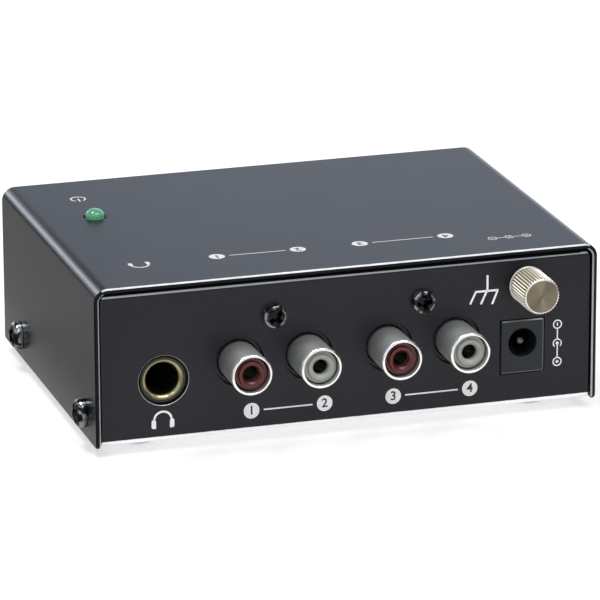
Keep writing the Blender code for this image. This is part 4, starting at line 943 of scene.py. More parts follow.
def make_chassis():
    front_line = PANEL_Y + CHASSIS_BEND
    rear_line = REAR_PANEL_Y - CHASSIS_BEND
    flange_line = CHASSIS_HALF - CHASSIS_BEND

    def on_panel(z):
        return front_line - panel_run(z)

    outlines = [chassis_rim(front_line, rear_line)]
    outlines.append(ring_of_points(JACK_X, on_panel(JACK_Z), JACK_HOLE / 2))
    for x in PHONO_XS:
        outlines.append(ring_of_points(x, on_panel(PHONO_Z), PHONO_HOLE / 2))
    for x in (-PANEL_SCREW_X, PANEL_SCREW_X):
        outlines.append(ring_of_points(x, on_panel(PANEL_SCREW_Z), PANEL_SCREW_HOLE / 2, 48))
    outlines.append(ring_of_points(EARTH_X, on_panel(EARTH_Z), EARTH_HOLE / 2, 48))
    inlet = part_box("dc_inlet_body")
    wide = (inlet[1].x - inlet[0].x) / 2 + INLET_GAP
    low, high = on_panel(inlet[0].z - INLET_GAP), on_panel(inlet[1].z + INLET_GAP)
    outlines.append([(INLET_X - wide, high), (INLET_X + wide, high), (INLET_X + wide, low),
                     (INLET_X - wide, low)])
    for y in SCREW_YS:
        for side in (-1, 1):
            x = side * (flange_line + bend_length(CHASSIS_BEND) + SCREW_Z - BASE_Z - CHASSIS_BEND)
            outlines.append(ring_of_points(x, y, SCREW_HOLE / 2, 48))
    for name in ("pillar_front_left", "pillar_front_right", "pillar_rear_left", "pillar_rear_right"):
        corner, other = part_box(name)
        x, y = (corner.x + other.x) / 2, (corner.y + other.y) / 2
        outlines.append(ring_of_points(x, y, PILLAR_HOLE / 2, 48))
    blank = flat_blank("chassis_blank", outlines, BASE_Z, BASE_Z + SHEET, 0.1 * MM)
    lip_run = panel_run(PANEL_TOP - LIP_BEND)
    score(blank, bend_places(-front_line, CHASSIS_BEND, -1) + bend_places(rear_line, CHASSIS_BEND, 1)
          + bend_places(lip_run - front_line, LIP_BEND, -1)
          + bend_places(rear_line + lip_run, LIP_BEND, 1), (0, 1, 0))
    score(blank, bend_places(flange_line, CHASSIS_BEND, 1) + bend_places(flange_line, CHASSIS_BEND, -1),
          (1, 0, 0))
    jack = Vector((JACK_X, on_panel(JACK_Z)))
    # Round the headphone hole the edge is pale: wear and a painted highlight.
    mark_edges(blank, lambda spot, facing: (spot.xy - jack).length < JACK_HOLE)
    # A band along each lip's bend takes the pale edge finish: a painted highlight.
    for face, mark in zip(blank.data.polygons, blank.data.attributes["edge"].data):
        along = abs(face.center.y - (front_line + rear_line) / 2) - (rear_line - front_line) / 2
        past = along - lip_run
        if 0 < past < bend_length(LIP_BEND) and face.normal.z < -0.9:
            mark.value = int(LIP_HIGHLIGHT_SHARES[0] < past / bend_length(LIP_BEND) < LIP_HIGHLIGHT_SHARES[1])
    tree = fold_tree("fold_chassis", [
        ("Front lip", (0, -1, 0), None), ("Rear lip", (0, 1, 0), None),
        ("Panel", (0, -1, 0), None), ("Rear panel", (0, 1, 0), None),
        ("Right flange", (1, 0, 0), (0, 1, 0)), ("Left flange", (-1, 0, 0), (0, 1, 0))])
    values = {"Thickness": SHEET, "Outer face": BASE_Z, "Fold side": 1.0, "Finish": chassis_paint}
    values["Front lip line"] = lip_run - front_line
    values["Rear lip line"] = lip_run + rear_line
    values["Panel line"] = -front_line
    values["Rear panel line"] = rear_line
    values["Flange middle"] = (PANEL_Y + REAR_PANEL_Y) / 2
    values["Flange half length"] = (REAR_PANEL_Y - PANEL_Y) / 2 - FLANGE_FREE + SLIT / 2
    for label in ("Front lip", "Rear lip"):
        values[label + " radius"] = LIP_BEND
    for label in ("Panel", "Rear panel", "Right flange", "Left flange"):
        values[label + " radius"] = CHASSIS_BEND
    for label in ("Right flange", "Left flange"):
        values[label + " line"] = flange_line
    return finish_edges(run_tree(blank, tree, values, "chassis"), edge_wear_and_highlight)


chassis = make_chassis()
dress(chassis, "case", "chassis_paint", "base_chassis")

# %% [markdown]
# ## Turned parts
#
# Shells, cores, screws, the ferrule, the thumb screw and the feet are round, so one helper spins a
# profile. The profile is a list of radius and height, and small steps in it give each part its rounded
# rim. The Screw modifier could do this too, but a short loop keeps the poles closed and the seam clean.

# %% A lathe
LATHE_SIDES = 96


def lathe(profile, sides=LATHE_SIDES, closed=False):
    """A solid of revolution round Z from radius and height pairs in millimetres."""
    shape = bmesh.new()
    loops = []
    for radius, height in profile:
        if radius == 0:
            loops.append([shape.verts.new((0, 0, height * MM))])
            continue
        turn = [2 * pi * i / sides for i in range(sides)]
        loops.append([shape.verts.new((radius * MM * cos(a), radius * MM * sin(a), height * MM))
                      for a in turn])
    pairs = list(zip(loops, loops[1:]))
    if closed:
        pairs.append((loops[-1], loops[0]))
    for first, second in pairs:
        for i in range(sides):
            j = (i + 1) % sides
            corners = [first[i % len(first)], first[j % len(first)], second[j % len(second)],
                       second[i % len(second)]]
            unique = []
            for corner in corners:
                if corner not in unique:
                    unique.append(corner)
            shape.faces.new(unique)
    return shape


def arc(radius, height, size, start, end, steps=6):
    """Points of a rounding of this size round a centre, between two angles in degrees."""
    points = []
    for step in range(steps + 1):
        angle = radians(start + (end - start) * step / steps)
        points.append((radius + size * cos(angle), height + size * sin(angle)))
    return points


def over_panel(y):
    """How far a place stands out of the panel, in millimetres."""
    return (PANEL_Y - y) / MM


FACING_FRONT = Matrix.Rotation(pi / 2, 4, "X")


def place_on_front(item, x, y, z):
    """Turns a part that was made standing up so that it points at the viewer, and puts it in place."""
    item.data.transform(Matrix.Translation((x, y, z)) @ FACING_FRONT)
    return item


print("Lathe ready, sides:", LATHE_SIDES)

# %% [markdown]
# ## Pieces that repeat
#
# Shells, cores, panel screws, cover screws and feet are each one shape in several places. In Geometry
# Nodes a mesh of loose points carries the places. Each point has the direction its piece looks in and a
# turn about that direction, and a prototype is put on every point. The tree ends by making the copies
# real and giving them their finish.

# %% Geometry Nodes that repeat a piece
def repeat_tree():
    tree, given = start_tree("repeat_piece", "Places", "Pieces", [("Piece", "Object")])
    aim = add_node(tree, "GeometryNodeInputNamedAttribute", {"Name": "aim"}, data_type="FLOAT_VECTOR")
    turn = add_node(tree, "GeometryNodeInputNamedAttribute", {"Name": "turn"}, data_type="FLOAT")
    spin = add_node(tree, "FunctionNodeAxisAngleToRotation", {"Axis": (0, 0, 1), "Angle": turn})
    look = add_node(tree, "FunctionNodeAlignRotationToVector", {"Vector": aim}, axis="Z")
    both = add_node(tree, "FunctionNodeRotateRotation", {
        "Rotation": look, "Rotate By": spin}, rotation_space="LOCAL")
    piece = add_node(tree, "GeometryNodeObjectInfo", {"Object": given.outputs["Piece"]})
    copies = add_node(tree, "GeometryNodeInstanceOnPoints", {
        "Points": given.outputs["Places"], "Instance": piece.outputs["Geometry"], "Rotation": both})
    return end_tree(tree, given, copies, "Pieces")


repeat_pieces = repeat_tree()


def repeat(name, prototype, places, finish):
    """Puts a prototype on places, each a point, a direction and a turn in degrees."""
    mesh = bpy.data.meshes.new(name)
    mesh.from_pydata([place for place, aim, turn in places], [], [])
    mesh.attributes.new("aim", "FLOAT_VECTOR", "POINT")
    mesh.attributes.new("turn", "FLOAT", "POINT")
    for index, (place, aim, turn) in enumerate(places):
        mesh.attributes["aim"].data[index].vector = aim
        mesh.attributes["turn"].data[index].value = radians(turn)
    points = bpy.data.objects.new(name, mesh)
    bpy.context.scene.collection.objects.link(points)
    made = run_tree(points, repeat_pieces, {"Piece": prototype, "Finish": finish}, name)
    bpy.data.objects.remove(prototype, do_unlink=True)
    return made


FRONT = (0, -1, 0)
print("Repeat tree nodes:", len(repeat_pieces.nodes))

# %% [markdown]
# ### Phono shells
#
# A phono shell is a drawn nickel-plated sleeve. Its mouth is rolled outwards into a rim that is a little
# wider than the barrel, and the rim's round edge makes the bright ring that is seen first.

# %% Phono shells
SHELL_REACH = 9.0


def shell_profile():
    """Radius and height over the panel in millimetres, from the mouth back and round inside."""
    tail = over_panel(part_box("line_out_left_shell")[1].y)
    profile = [(3.62, tail), (3.62, SHELL_REACH - 1.3)]
    profile += arc(3.76, SHELL_REACH - 0.16, 0.16, 180, 90, 5)
    profile += arc(3.76, SHELL_REACH - 0.40, 0.40, 80, 0, 8)
    profile += [(4.16, SHELL_REACH - 0.8), (4.14, SHELL_REACH - 1.0), (4.09, SHELL_REACH - 1.15)]
    profile += [(4.03, SHELL_REACH - 1.22)]
    profile += [(4.0, tail + 0.1), (3.95, tail)]
    return profile


shell = mesh_object("shell_prototype", lathe(shell_profile(), closed=True))
shells = repeat("phono_shells", shell, [((x, PANEL_Y, PHONO_Z), FRONT, 0) for x in PHONO_XS],
                satin_nickel)
dress(shells, "case", "satin_nickel", "line_out_right_shell", "line_out_left_shell",
      "phono_in_right_shell", "phono_in_left_shell")

# %% [markdown]
# ### Phono cores
#
# Each shell holds a moulded core, red for one channel and white for the other. A raised boss with a
# rounded rim surrounds the countersunk hole for the plug's pin, and a lower ledge fills the shell.

# %% Phono cores
def core_profile():
    face = SHELL_REACH - 0.4
    tail = over_panel(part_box("line_out_left_core")[1].y)
    profile = [(1.8, tail), (1.8, face - 1.2), (1.55, face - 1.1), (1.5, face - 0.9)]
    profile += [(1.62, face - 0.5), (1.9, face - 0.16), (2.05, face - 0.05), (2.2, face)]
    profile += arc(2.4, face - 0.22, 0.22, 90, 0, 6)
    profile += [(2.66, face - 0.72), (2.74, face - 0.8), (3.2, face - 0.8), (3.3, face - 0.86)]
    profile += [(3.34, face - 1.0), (3.34, face - 2.4), (3.07, face - 2.6), (3.07, tail)]
    return profile


def make_cores(name, xs, finish):
    core = mesh_object("core_prototype", lathe(core_profile(), closed=True))
    return repeat(name, core, [((x, PANEL_Y, PHONO_Z), FRONT, 0) for x in xs], finish)


red_cores = make_cores("red_phono_cores", PHONO_XS[0::2], red_pbt)
dress(red_cores, "case", "red_moulding", "line_out_right_core", "phono_in_right_core")
white_cores = make_cores("white_phono_cores", PHONO_XS[1::2], white_pbt)
dress(white_cores, "case", "white_moulding", "line_out_left_core", "phono_in_left_core")

# %% [markdown]
# ### Headphone ferrule
#
# The plug goes in through a gilt ferrule. Its mouth flares like a shallow trumpet, which guides the
# plug and shows as a bright crescent on one side and a shaded one on the other.

# %% Headphone ferrule
def make_ferrule():
    low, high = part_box("headphone_jack_ferrule")
    front = over_panel(low.y) + 0.3
    back = over_panel(high.y)
    seat = over_panel(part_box("headphone_jack_body")[0].y) + 0.08
    profile = [(3.15, back), (3.15, front - 1.45)]
    profile += arc(4.5, front - 1.35, 1.35, 180, 90, 16)
    profile += arc(4.56, front - 0.14, 0.14, 90, 0, 5)
    profile += [(4.7, seat + 0.05), (4.65, seat), (4.04, seat), (4.04, back + 0.1), (3.95, back)]
    ferrule = mesh_object("headphone_ferrule", lathe(profile, closed=True), gilt)
    return place_on_front(ferrule, JACK_X, PANEL_Y, JACK_Z)


ferrule = make_ferrule()
dress(ferrule, "case", "gilt_ferrule", "headphone_jack_ferrule")

# %% [markdown]
# ### Screws
#
# The panel's screws have pan heads, nearly flat with a rounded shoulder. The cover's have domed heads.
# The cross recess is pressed in with a tapered punch: a cross-shaped solid, wide at the surface and
# narrow at the bottom, is cut away with a Boolean.

# %% Screw prototype
def cut_away(item, cutters, angle=SHARP_ANGLE):
    """Cuts closed objects out of another, and removes them."""
    for cutter in cutters:
        tool = item.modifiers.new(cutter.name, "BOOLEAN")
        tool.operation = "DIFFERENCE"
        tool.solver = "EXACT"
        tool.object = cutter
    made = smooth(plain_mesh(item, item.name), angle)
    for cutter in cutters:
        bpy.data.objects.remove(cutter, do_unlink=True)
    return made


def cross_punch(span, slot, bottom, top):
    """A tapered cross between two heights in millimetres, and a little way past the top."""
    shape = bmesh.new()
    rings = []
    for height, share in ((bottom, 0.42), (top + 0.4, 1.12)):
        ring = []
        for quarter in range(4):
            turn = Matrix.Rotation(-pi / 2 * quarter, 2)
            wide = slot * (0.75 + 0.25 * share)
            for corner in ((wide, span * share), (wide * 1.12, wide * 1.12), (span * share, wide)):
                spot = turn @ Vector(corner)
                ring.append(shape.verts.new((spot.x * MM, spot.y * MM, height * MM)))
        rings.append(ring)
    count = len(rings[0])
    for i in range(count):
        j = (i + 1) % count
        shape.faces.new((rings[0][i], rings[0][j], rings[1][j], rings[1][i]))
    shape.faces.new(rings[0])
    shape.faces.new(rings[1])
    return mesh_object("cross_punch", shape)


def pan_crown(half, height):
    """A nearly flat top with a rounded shoulder."""
    top = [(half * 0.3, height * 0.995), (half * 0.5, height * 0.97), (half * 0.66, height * 0.9)]
    return top + arc(half * 0.72, height * 0.5, half * 0.28, 52, 0, 8)


def domed_crown(half, height):
    """A top that curves all the way down."""
    dome = [(half * (0.5 + 0.5 * x), height * (0.28 + 0.67 * y)) for x, y in arc(0, 0, 1, 86, 0, 12)]
    return [(half * 0.3, height * 0.99)] + dome


SHOULDER_START = 0.74
SHOULDER_WIDTH = 0.12


def make_screw(crown, head, height, shank, length):
    """A screw that stands on Z = 0, with its sizes in millimetres."""
    half = head / 2
    profile = [(0, height)] + crown(half, height)
    profile += [(half, 0.12), (half - 0.1, 0.0), (shank / 2, 0.0), (shank / 2, -length + 0.3)]
    profile += [(shank / 2 - 0.3, -length), (0, -length)]
    screw = mesh_object("screw_prototype", lathe(profile, 64))
    punch = cross_punch(half * 0.7, half * 0.2, height * 0.12, height)
    screw = cut_away(screw, [punch], radians(30))
    # The shoulder attribute places the pale arcs: wear and a painted highlight.
    screw.data.attributes.new("shoulder", "FLOAT", "POINT")
    marks = screw.data.attributes["shoulder"].data
    for vertex in screw.data.vertices:
        past = (vertex.co.xy.length / (half * MM) - SHOULDER_START) / SHOULDER_WIDTH
        marks[vertex.index].value = min(max(past, 0), 1) if vertex.co.z > 0 else 0
    return screw


PANEL_HEAD = (4.8, 1.7, 2.6, 6.8)
panel_screws = repeat("panel_screws", make_screw(pan_crown, *PANEL_HEAD), [
    ((-PANEL_SCREW_X, PANEL_Y, PANEL_SCREW_Z), FRONT, 40),
    ((PANEL_SCREW_X, PANEL_Y, PANEL_SCREW_Z), FRONT, 8)], black_steel)
dress(panel_screws, "case", "case_screw", "panel_screw_left", "panel_screw_right")

COVER_HEAD = (5.9, 2.12, 2.9, 5.8)
side_places = [((side * HALF_WIDTH, y, SCREW_Z), (side, 0, 0), 25 + 37 * index)
               for side in (-1, 1) for index, y in enumerate(SCREW_YS)]
cover_screws = repeat("cover_screws", make_screw(domed_crown, *COVER_HEAD), side_places, black_steel)
dress(cover_screws, "case", "case_screw", "cover_screw_front_left", "cover_screw_rear_left",
      "cover_screw_front_right", "cover_screw_rear_right")

# %% [markdown]
# ## The knurled thumb screw
#
# A straight knurl is a ring of ridges pressed into a turned barrel. The barrel is spun with many sides,
# and Geometry Nodes then push its wall inwards in a wave round the axis. A point moves only where it
# lies outside the wave, so the ridges run out over the chamfers just as they do on the real screw.

# %% Geometry Nodes that knurl a barrel
def knurl_tree():
    numbers = ("Radius", "Ridge depth", "Ridges", "Lowest", "Highest")
    tree, given = start_tree("knurl_barrel", "Barrel", "Knob", [(number, "Float") for number in numbers])
    place = add_node(tree, "GeometryNodeInputPosition")
    split = add_node(tree, "ShaderNodeSeparateXYZ", {"Vector": place})
    flat = add_node(tree, "ShaderNodeVectorMath", {0: place, 1: (1, 1, 0)}, operation="MULTIPLY")
    radius = add_node(tree, "ShaderNodeVectorMath", {0: flat}, operation="LENGTH")
    angle = add_node(tree, "ShaderNodeMath", {
        0: split.outputs["Y"], 1: split.outputs["X"]}, operation="ARCTAN2")
    phase = add_node(tree, "ShaderNodeMath", {
        0: angle, 1: given.outputs["Ridges"]}, operation="MULTIPLY")
    wave = add_node(tree, "ShaderNodeMath", {0: phase}, operation="COSINE")
    valley = add_node(tree, "ShaderNodeMapRange", {
        "Value": wave, "From Min": -1.0, "From Max": 1.0, "To Min": 1.0, "To Max": 0.0})
    depth = add_node(tree, "ShaderNodeMath", {
        0: valley, 1: given.outputs["Ridge depth"]}, operation="MULTIPLY")
    limit = add_node(tree, "ShaderNodeMath", {
        0: given.outputs["Radius"], 1: depth}, operation="SUBTRACT")
    smaller = add_node(tree, "ShaderNodeMath", {0: radius, 1: limit}, operation="MINIMUM")
    share = add_node(tree, "ShaderNodeMath", {0: smaller, 1: radius}, operation="DIVIDE")
    narrowed = add_node(tree, "ShaderNodeCombineXYZ", {"X": share, "Y": share, "Z": 1.0})
    moved = add_node(tree, "ShaderNodeVectorMath", {0: place, 1: narrowed}, operation="MULTIPLY")
    above = add_node(tree, "ShaderNodeMath", {
        0: split.outputs["Z"], 1: given.outputs["Lowest"]}, operation="GREATER_THAN")
    below = add_node(tree, "ShaderNodeMath", {
        0: split.outputs["Z"], 1: given.outputs["Highest"]}, operation="LESS_THAN")
    where = add_node(tree, "ShaderNodeMath", {0: above, 1: below}, operation="MULTIPLY")
    pushed = add_node(tree, "GeometryNodeSetPosition", {
        "Geometry": given.outputs["Barrel"], "Selection": where, "Position": moved})
    return end_tree(tree, given, pushed, "Knob")


KNOB_RADIUS = 3.8
RIDGES = 38
SIDES_PER_RIDGE = 8


def make_knob():
    low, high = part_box("earth_thumb_screw")
    tip = over_panel(low.y)
    tail = over_panel(high.y)
    collar = 0.82
    start = collar + 0.12
    profile = [(0, tip - 0.28), (0.12, tip - 0.27), (0.4, tip - 0.04), (0.5, tip)]
    profile += [(KNOB_RADIUS - 0.52, tip), (KNOB_RADIUS - 0.42, tip - 0.03)]
    profile += [(KNOB_RADIUS - 0.2, tip - 0.22), (KNOB_RADIUS - 0.05, tip - 0.4)]
    profile += [(KNOB_RADIUS, tip - 0.52)]
    steps = 6
    for step in range(1, steps):
        profile.append((KNOB_RADIUS, tip - 0.52 - (tip - 0.52 - start - 0.4) * step / steps))
    profile += [(KNOB_RADIUS, start + 0.4), (KNOB_RADIUS - 0.2, start + 0.2), (KNOB_RADIUS - 0.45, start)]
    profile += [(3.1, start), (3.1, collar + 0.03), (3.05, collar)]
    profile += [(1.95, collar), (1.95, tail + 0.3), (1.6, tail), (0, tail)]
    barrel = mesh_object("knob_barrel", lathe(profile, RIDGES * SIDES_PER_RIDGE))
    knob = run_tree(barrel, knurl_tree(), {
        "Radius": KNOB_RADIUS * MM, "Ridge depth": 0.42 * MM, "Ridges": float(RIDGES),
        "Lowest": start * MM - 0.01 * MM, "Highest": (tip + 1) * MM, "Finish": turned_brass},
        "earth_knob", radians(35))
    return place_on_front(knob, EARTH_X, PANEL_Y, EARTH_Z)


knob = make_knob()
dress(knob, "earth_thumb_screw", "turned_brass", "earth_thumb_screw")

# %% [markdown]
# Under the thumb screw lies its washer. It rides on its own body, because it moves out with the screw
# but doesn't turn with it. Its rim is tumbled round.

# %% Washer
def make_washer():
    low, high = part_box("earth_washer")
    front = over_panel(low.y)
    back = over_panel(high.y)
    rim = (front - back) / 2
    profile = [(2.15, back), (2.15, front)]
    profile += arc(3.85 - rim, back + rim, rim, 90, -90, 8)
    washer = mesh_object("thumb_screw_washer", lathe(profile, closed=True), turned_brass)
    return place_on_front(washer, EARTH_X, PANEL_Y, EARTH_Z)


washer = make_washer()
dress(washer, "earth_washer", "satin_nickel", "earth_washer")

# %% [markdown]
# ## Power inlet
#
# The inlet is a moulded block that looks out through a window in the panel. From the front it is a
# rectangle with softened edges and a round hole. The block comes from the blank helper, stood upright.
# Its bore and the slot of its spring are cut away like the screws' crosses, because they end inside.

# %% Power inlet
INLET_DEPTH = 9.5
BORE_RADIUS = 2.95


def box_object(name, low, high):
    shape = bmesh.new()
    bmesh.ops.create_cube(shape, size=1)
    size = Vector(high) - Vector(low)
    middle = (Vector(high) + Vector(low)) / 2
    bmesh.ops.transform(shape, matrix=Matrix.Translation(middle) @ Matrix.Diagonal((*size, 1)),
                        verts=shape.verts)
    return mesh_object(name, shape)


def make_inlet():
    low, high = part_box("dc_inlet_body")
    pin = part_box("dc_inlet_pin")
    axis_z = (pin[0].z + pin[1].z) / 2
    wide, tall = (high.x - low.x) / 2, (high.z - low.z) / 2
    middle = (high.z + low.z) / 2
    soft = 0.3 * MM
    rim = rounded_outline([(-wide, -tall, soft), (wide, -tall, soft), (wide, tall, soft),
                           (-wide, tall, soft)], 4)
    block = flat_blank("power_inlet", [rim], low.y - high.y, 0, 0.24 * MM)
    block.data.transform(Matrix.Translation((INLET_X, low.y, middle)) @ FACING_FRONT)
    block.data.materials.clear()
    block.data.materials.append(grey_pbt)
    block.data.materials.append(inlet_edge_highlight)
    # The front edges, except the left one, are paler: a painted highlight.
    for face in block.data.polygons:
        front = face.center.y < low.y + 0.3 * MM
        slanting = -FLAT_FACING < face.normal.y < -RIM_FACING
        face.material_index = int(front and slanting and face.normal.x > -RIM_FACING)
    bore = mesh_object("bore", lathe([
        (0, 0.5), (BORE_RADIUS + 0.6, 0.5), (BORE_RADIUS, -0.1), (BORE_RADIUS, -INLET_DEPTH),
        (1.25, -INLET_DEPTH), (1.25, -INLET_DEPTH - 3.0), (0, -INLET_DEPTH - 3.0)]))
    place_on_front(bore, INLET_X, low.y, axis_z)
    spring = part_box("dc_inlet_spring")
    gap = 0.3 * MM
    slot = box_object("slot", (spring[0].x - gap, spring[0].y - 1.0 * MM, spring[0].z - gap),
                      (spring[1].x + gap, spring[1].y + gap, axis_z - 1.7 * MM))
    return cut_away(block, [bore, slot]), axis_z


inlet, INLET_Z = make_inlet()
dress(inlet, "case", "inlet_moulding", "dc_inlet_body")


def make_pin():
    low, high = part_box("dc_inlet_pin")
    tip, tail = over_panel(low.y), over_panel(high.y)
    profile = [(0, tip)] + arc(0.1, tip - 0.9, 0.9, 90, 0, 8) + [(1.0, tail), (0, tail)]
    pin = mesh_object("power_pin", lathe(profile, 48), pin_painted_shade)
    return place_on_front(pin, INLET_X, PANEL_Y, INLET_Z)


pin = make_pin()
dress(pin, "case", "satin_nickel", "dc_inlet_pin")

# %% [markdown]
# ## The power light
#
# The light is a 4 mm lens with a domed end. A half sphere on a short neck is close to it, but the real
# dome is a little flatter, so its profile is an ellipse.

# %% Power light
def make_lens():
    low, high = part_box("power_led")
    top = (high.z - TOP_Z) / MM
    foot = (low.z - TOP_Z) / MM
    radius = 1.95
    shoulder = 0.35
    profile = [(0, top)]
    for step in range(1, 13):
        angle = pi / 2 * step / 12
        profile.append((radius * sin(angle), shoulder + (top - shoulder) * cos(angle)))
    profile += [(radius, -1.3), (2.35, -1.35), (2.35, -2.05), (2.2, -2.1)]
    profile += [(0.9, -2.1), (0.9, foot), (0, foot)]
    lens = mesh_object("power_light", lathe(profile), green_lens)
    lens.data.transform(Matrix.Translation((*LED_PLACE, TOP_Z)))
    return lens


lens = make_lens()
dress(lens, "case", "green_lens", "power_led")

# %% [markdown]
# ## Feet
#
# Four small clear feet are stuck under the floor. Their sides lean in a little and their lower edge
# is round, so they hardly show from the front.

# %% Clear feet
def make_feet():
    names = ["foot_front_left", "foot_front_right", "foot_rear_left", "foot_rear_right"]
    places = []
    for name in names:
        low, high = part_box(name)
        places.append((((low.x + high.x) / 2, (low.y + high.y) / 2, 0), (0, 0, 1), 0))
    profile = [(0, 0.15), (1.6, 0.15), (1.9, 0.0), (3.1, 0.0)] + arc(3.3, 0.45, 0.45, -90, 0, 6)
    profile += [(4.0, 1.6), (4.0, 2.0), (0, 2.0)]
    foot = mesh_object("foot_prototype", lathe(profile, 64))
    feet = repeat("clear_feet", foot, places, soft_clear)
    dress(feet, "case", "foot_rubber", *names)
    return feet


feet = make_feet()

# %% [markdown]
# ## Printed signs
#
# The signs are a few hundredths of a millimetre of ink. They could be painted by a material, but a thin
# raised film keeps a crisp edge at any distance and goes with the model. Strokes, arcs and discs are
# drawn flat by small helpers, and each group of signs is one mesh. Discs carry plain numbers.

# %% Helpers that draw with ink
INK = 0.02


class Ink:
    """Flat shapes in millimetres, gathered into one mesh as thick as the ink."""

    def __init__(self):
        self.shape = bmesh.new()

    def area(self, outline):
        """A filled outline."""
        lower = [self.shape.verts.new((x * MM, y * MM, 0)) for x, y in outline]
        upper = [self.shape.verts.new((x * MM, y * MM, INK * MM)) for x, y in outline]
        self.shape.faces.new(lower)
        self.shape.faces.new(upper)
        for i in range(len(outline)):
            j = (i + 1) % len(outline)
            self.shape.faces.new((lower[i], lower[j], upper[j], upper[i]))

    def stroke(self, points, width):
        """A line of even width along points."""
        left, right = [], []
        for index, point in enumerate(points):
            here = Vector(point)
            before = Vector(points[max(index - 1, 0)])
            after = Vector(points[min(index + 1, len(points) - 1)])
            run = (after - before).normalized()
            side = Vector((-run.y, run.x)) * width / 2
            left.append(tuple(here + side))
            right.append(tuple(here - side))
        self.area(left + right[::-1])

    def ring(self, x, y, radius, width, start=0, end=360, steps=40):
        """A circle or part of one, drawn with a line of even width."""
        outer, inner = [], []
        for step in range(steps + 1):
            angle = radians(start + (end - start) * step / steps)
            outer.append((x + (radius + width / 2) * cos(angle), y + (radius + width / 2) * sin(angle)))
            inner.append((x + (radius - width / 2) * cos(angle), y + (radius - width / 2) * sin(angle)))
        for step in range(steps):
            self.area([outer[step], outer[step + 1], inner[step + 1], inner[step]])

    def disc(self, x, y, radius, steps=48):
        self.area(ring_of_points(x, y, radius, steps))

    def finish(self, name, material, place):
        item = mesh_object(name, self.shape, material)
        item.data.transform(place)
        return item


def headphone_sign(ink, x, y, size=1.0, flip=1):
    """An arch with an ear cup at each end."""
    arch = []
    for step in range(25):
        angle = pi * step / 24
        arch.append((x + flip * size * 1.75 * cos(angle), y + flip * size * 1.6 * sin(angle)))
    ink.stroke(arch, 0.42 * size)
    for side in (-1, 1):
        cup = [(1.5, -1.85), (2.2, -1.75), (2.32, -1.5), (2.3, -0.2), (2.1, 0.0), (1.6, -0.05),
               (1.42, -0.3), (1.4, -1.65)]
        ink.area([(x + flip * size * side * u, y + flip * size * v) for u, v in cup])


def polarity_sign(ink, places, width=0.24, radius=0.85):
    """Ring, open ring with a dot, ring: joined by lines. The places are the three centres."""
    arm = 0.35
    first, middle, last = (Vector(p) for p in places)
    run = (last - first).normalized()
    side = Vector((-run.y, run.x))
    ink.ring(first.x, first.y, radius, width)
    ink.ring(last.x, last.y, radius, width)
    ink.stroke([first - run * arm, first + run * arm], width)
    ink.stroke([last - run * arm, last + run * arm], width)
    ink.stroke([last - side * arm, last + side * arm], width)
    ink.stroke([first + run * radius, middle - run * radius], width)
    ink.stroke([middle, last - run * radius], width)
    ink.disc(middle.x, middle.y, 0.34)
    turn = degrees(atan2(run.y, run.x))
    ink.ring(middle.x, middle.y, radius, width, turn + 40, turn + 320)


print("Ink film thickness in mm:", INK)

# %% [markdown]
# The numbers on the discs are letters of Blender's own plain font, turned into a mesh before they are
# moved. They lie on the white discs as patches of bare paint.

# %% Numbers
NUMBER_SIZE = 2.6
NUMBER_FILM = 0.004


def number(text, x, y, turn):
    """One number as a thin mesh object on the ink, centred on a place in millimetres."""
    words = bpy.data.curves.new("number_" + text, "FONT")
    words.body = text
    words.size = NUMBER_SIZE * MM
    words.align_x = "CENTER"
    words.align_y = "CENTER"
    words.extrude = NUMBER_FILM * MM
    words.offset = 0.02 * NUMBER_SIZE * MM
    item = bpy.data.objects.new("number_" + text, words)
    bpy.context.scene.collection.objects.link(item)
    item = plain_mesh(item, "number_" + text)
    place = Matrix.Translation((x * MM, y * MM, (INK + NUMBER_FILM) * MM))
    item.data.transform(place @ Matrix.Rotation(turn, 4, "Z"))
    return item


def numbers_on(name, discs, turn, place):
    """Plain numbers from 1 upwards on a row of discs, as one mesh object."""
    shape = bmesh.new()
    for index, (x, y) in enumerate(discs):
        figure = number(str(index + 1), x, y, turn)
        shape.from_mesh(figure.data)
        bpy.data.objects.remove(figure, do_unlink=True)
    made = mesh_object(name, shape, dark_ink)
    made.data.transform(place)
    return made


ON_PANEL = Matrix.Translation((0, PANEL_Y, 0)) @ FACING_FRONT
ON_TOP = Matrix.Translation((0, 0, TOP_Z))
print("Number helper ready")

# %% [markdown]
# The panel's signs: headphones, four numbered discs in two pairs, the earth sign and the polarity of
# the power plug. A thin line joins the two discs of each pair.

# %% Signs on the panel
DISC_RADIUS = 1.62
PAIR_LINE = 0.3
EARTH_LINE = 0.42
PANEL_DISCS = [(-20.1, 7.0), (-5.0, 7.0), (9.3, 7.0), (25.4, 7.0)]


def paired_discs(ink, discs, gap):
    """Four discs in two pairs. A line joins each pair and keeps this gap from the discs' centres."""
    for x, y in discs:
        ink.disc(x, y, DISC_RADIUS)
    for left, right in (discs[:2], discs[2:]):
        ink.stroke([(left[0] + gap, left[1]), (right[0] - gap, right[1])], PAIR_LINE)


def earth_sign(ink):
    """An upright line on a bar with three slanting feet."""
    top, bar = 30.34, 27.06
    ink.stroke([(28.98, top), (28.98, bar)], EARTH_LINE)
    ink.stroke([(26.4, bar), (31.3, bar)], EARTH_LINE)
    for x, foot_x, foot_z in ((26.55, 25.37, 24.6), (28.85, 27.62, 24.4), (31.15, 29.98, 24.2)):
        ink.stroke([(x, bar), (foot_x, foot_z)], EARTH_LINE)


def panel_signs():
    ink = Ink()
    headphone_sign(ink, -38.25, 7.1)
    paired_discs(ink, PANEL_DISCS, 2.5)
    earth_sign(ink)
    polarity_sign(ink, [(43.9, 18.64), (43.9, 14.66), (43.9, 10.79)])
    return ink.finish("panel_signs", glowing_white_ink, ON_PANEL)


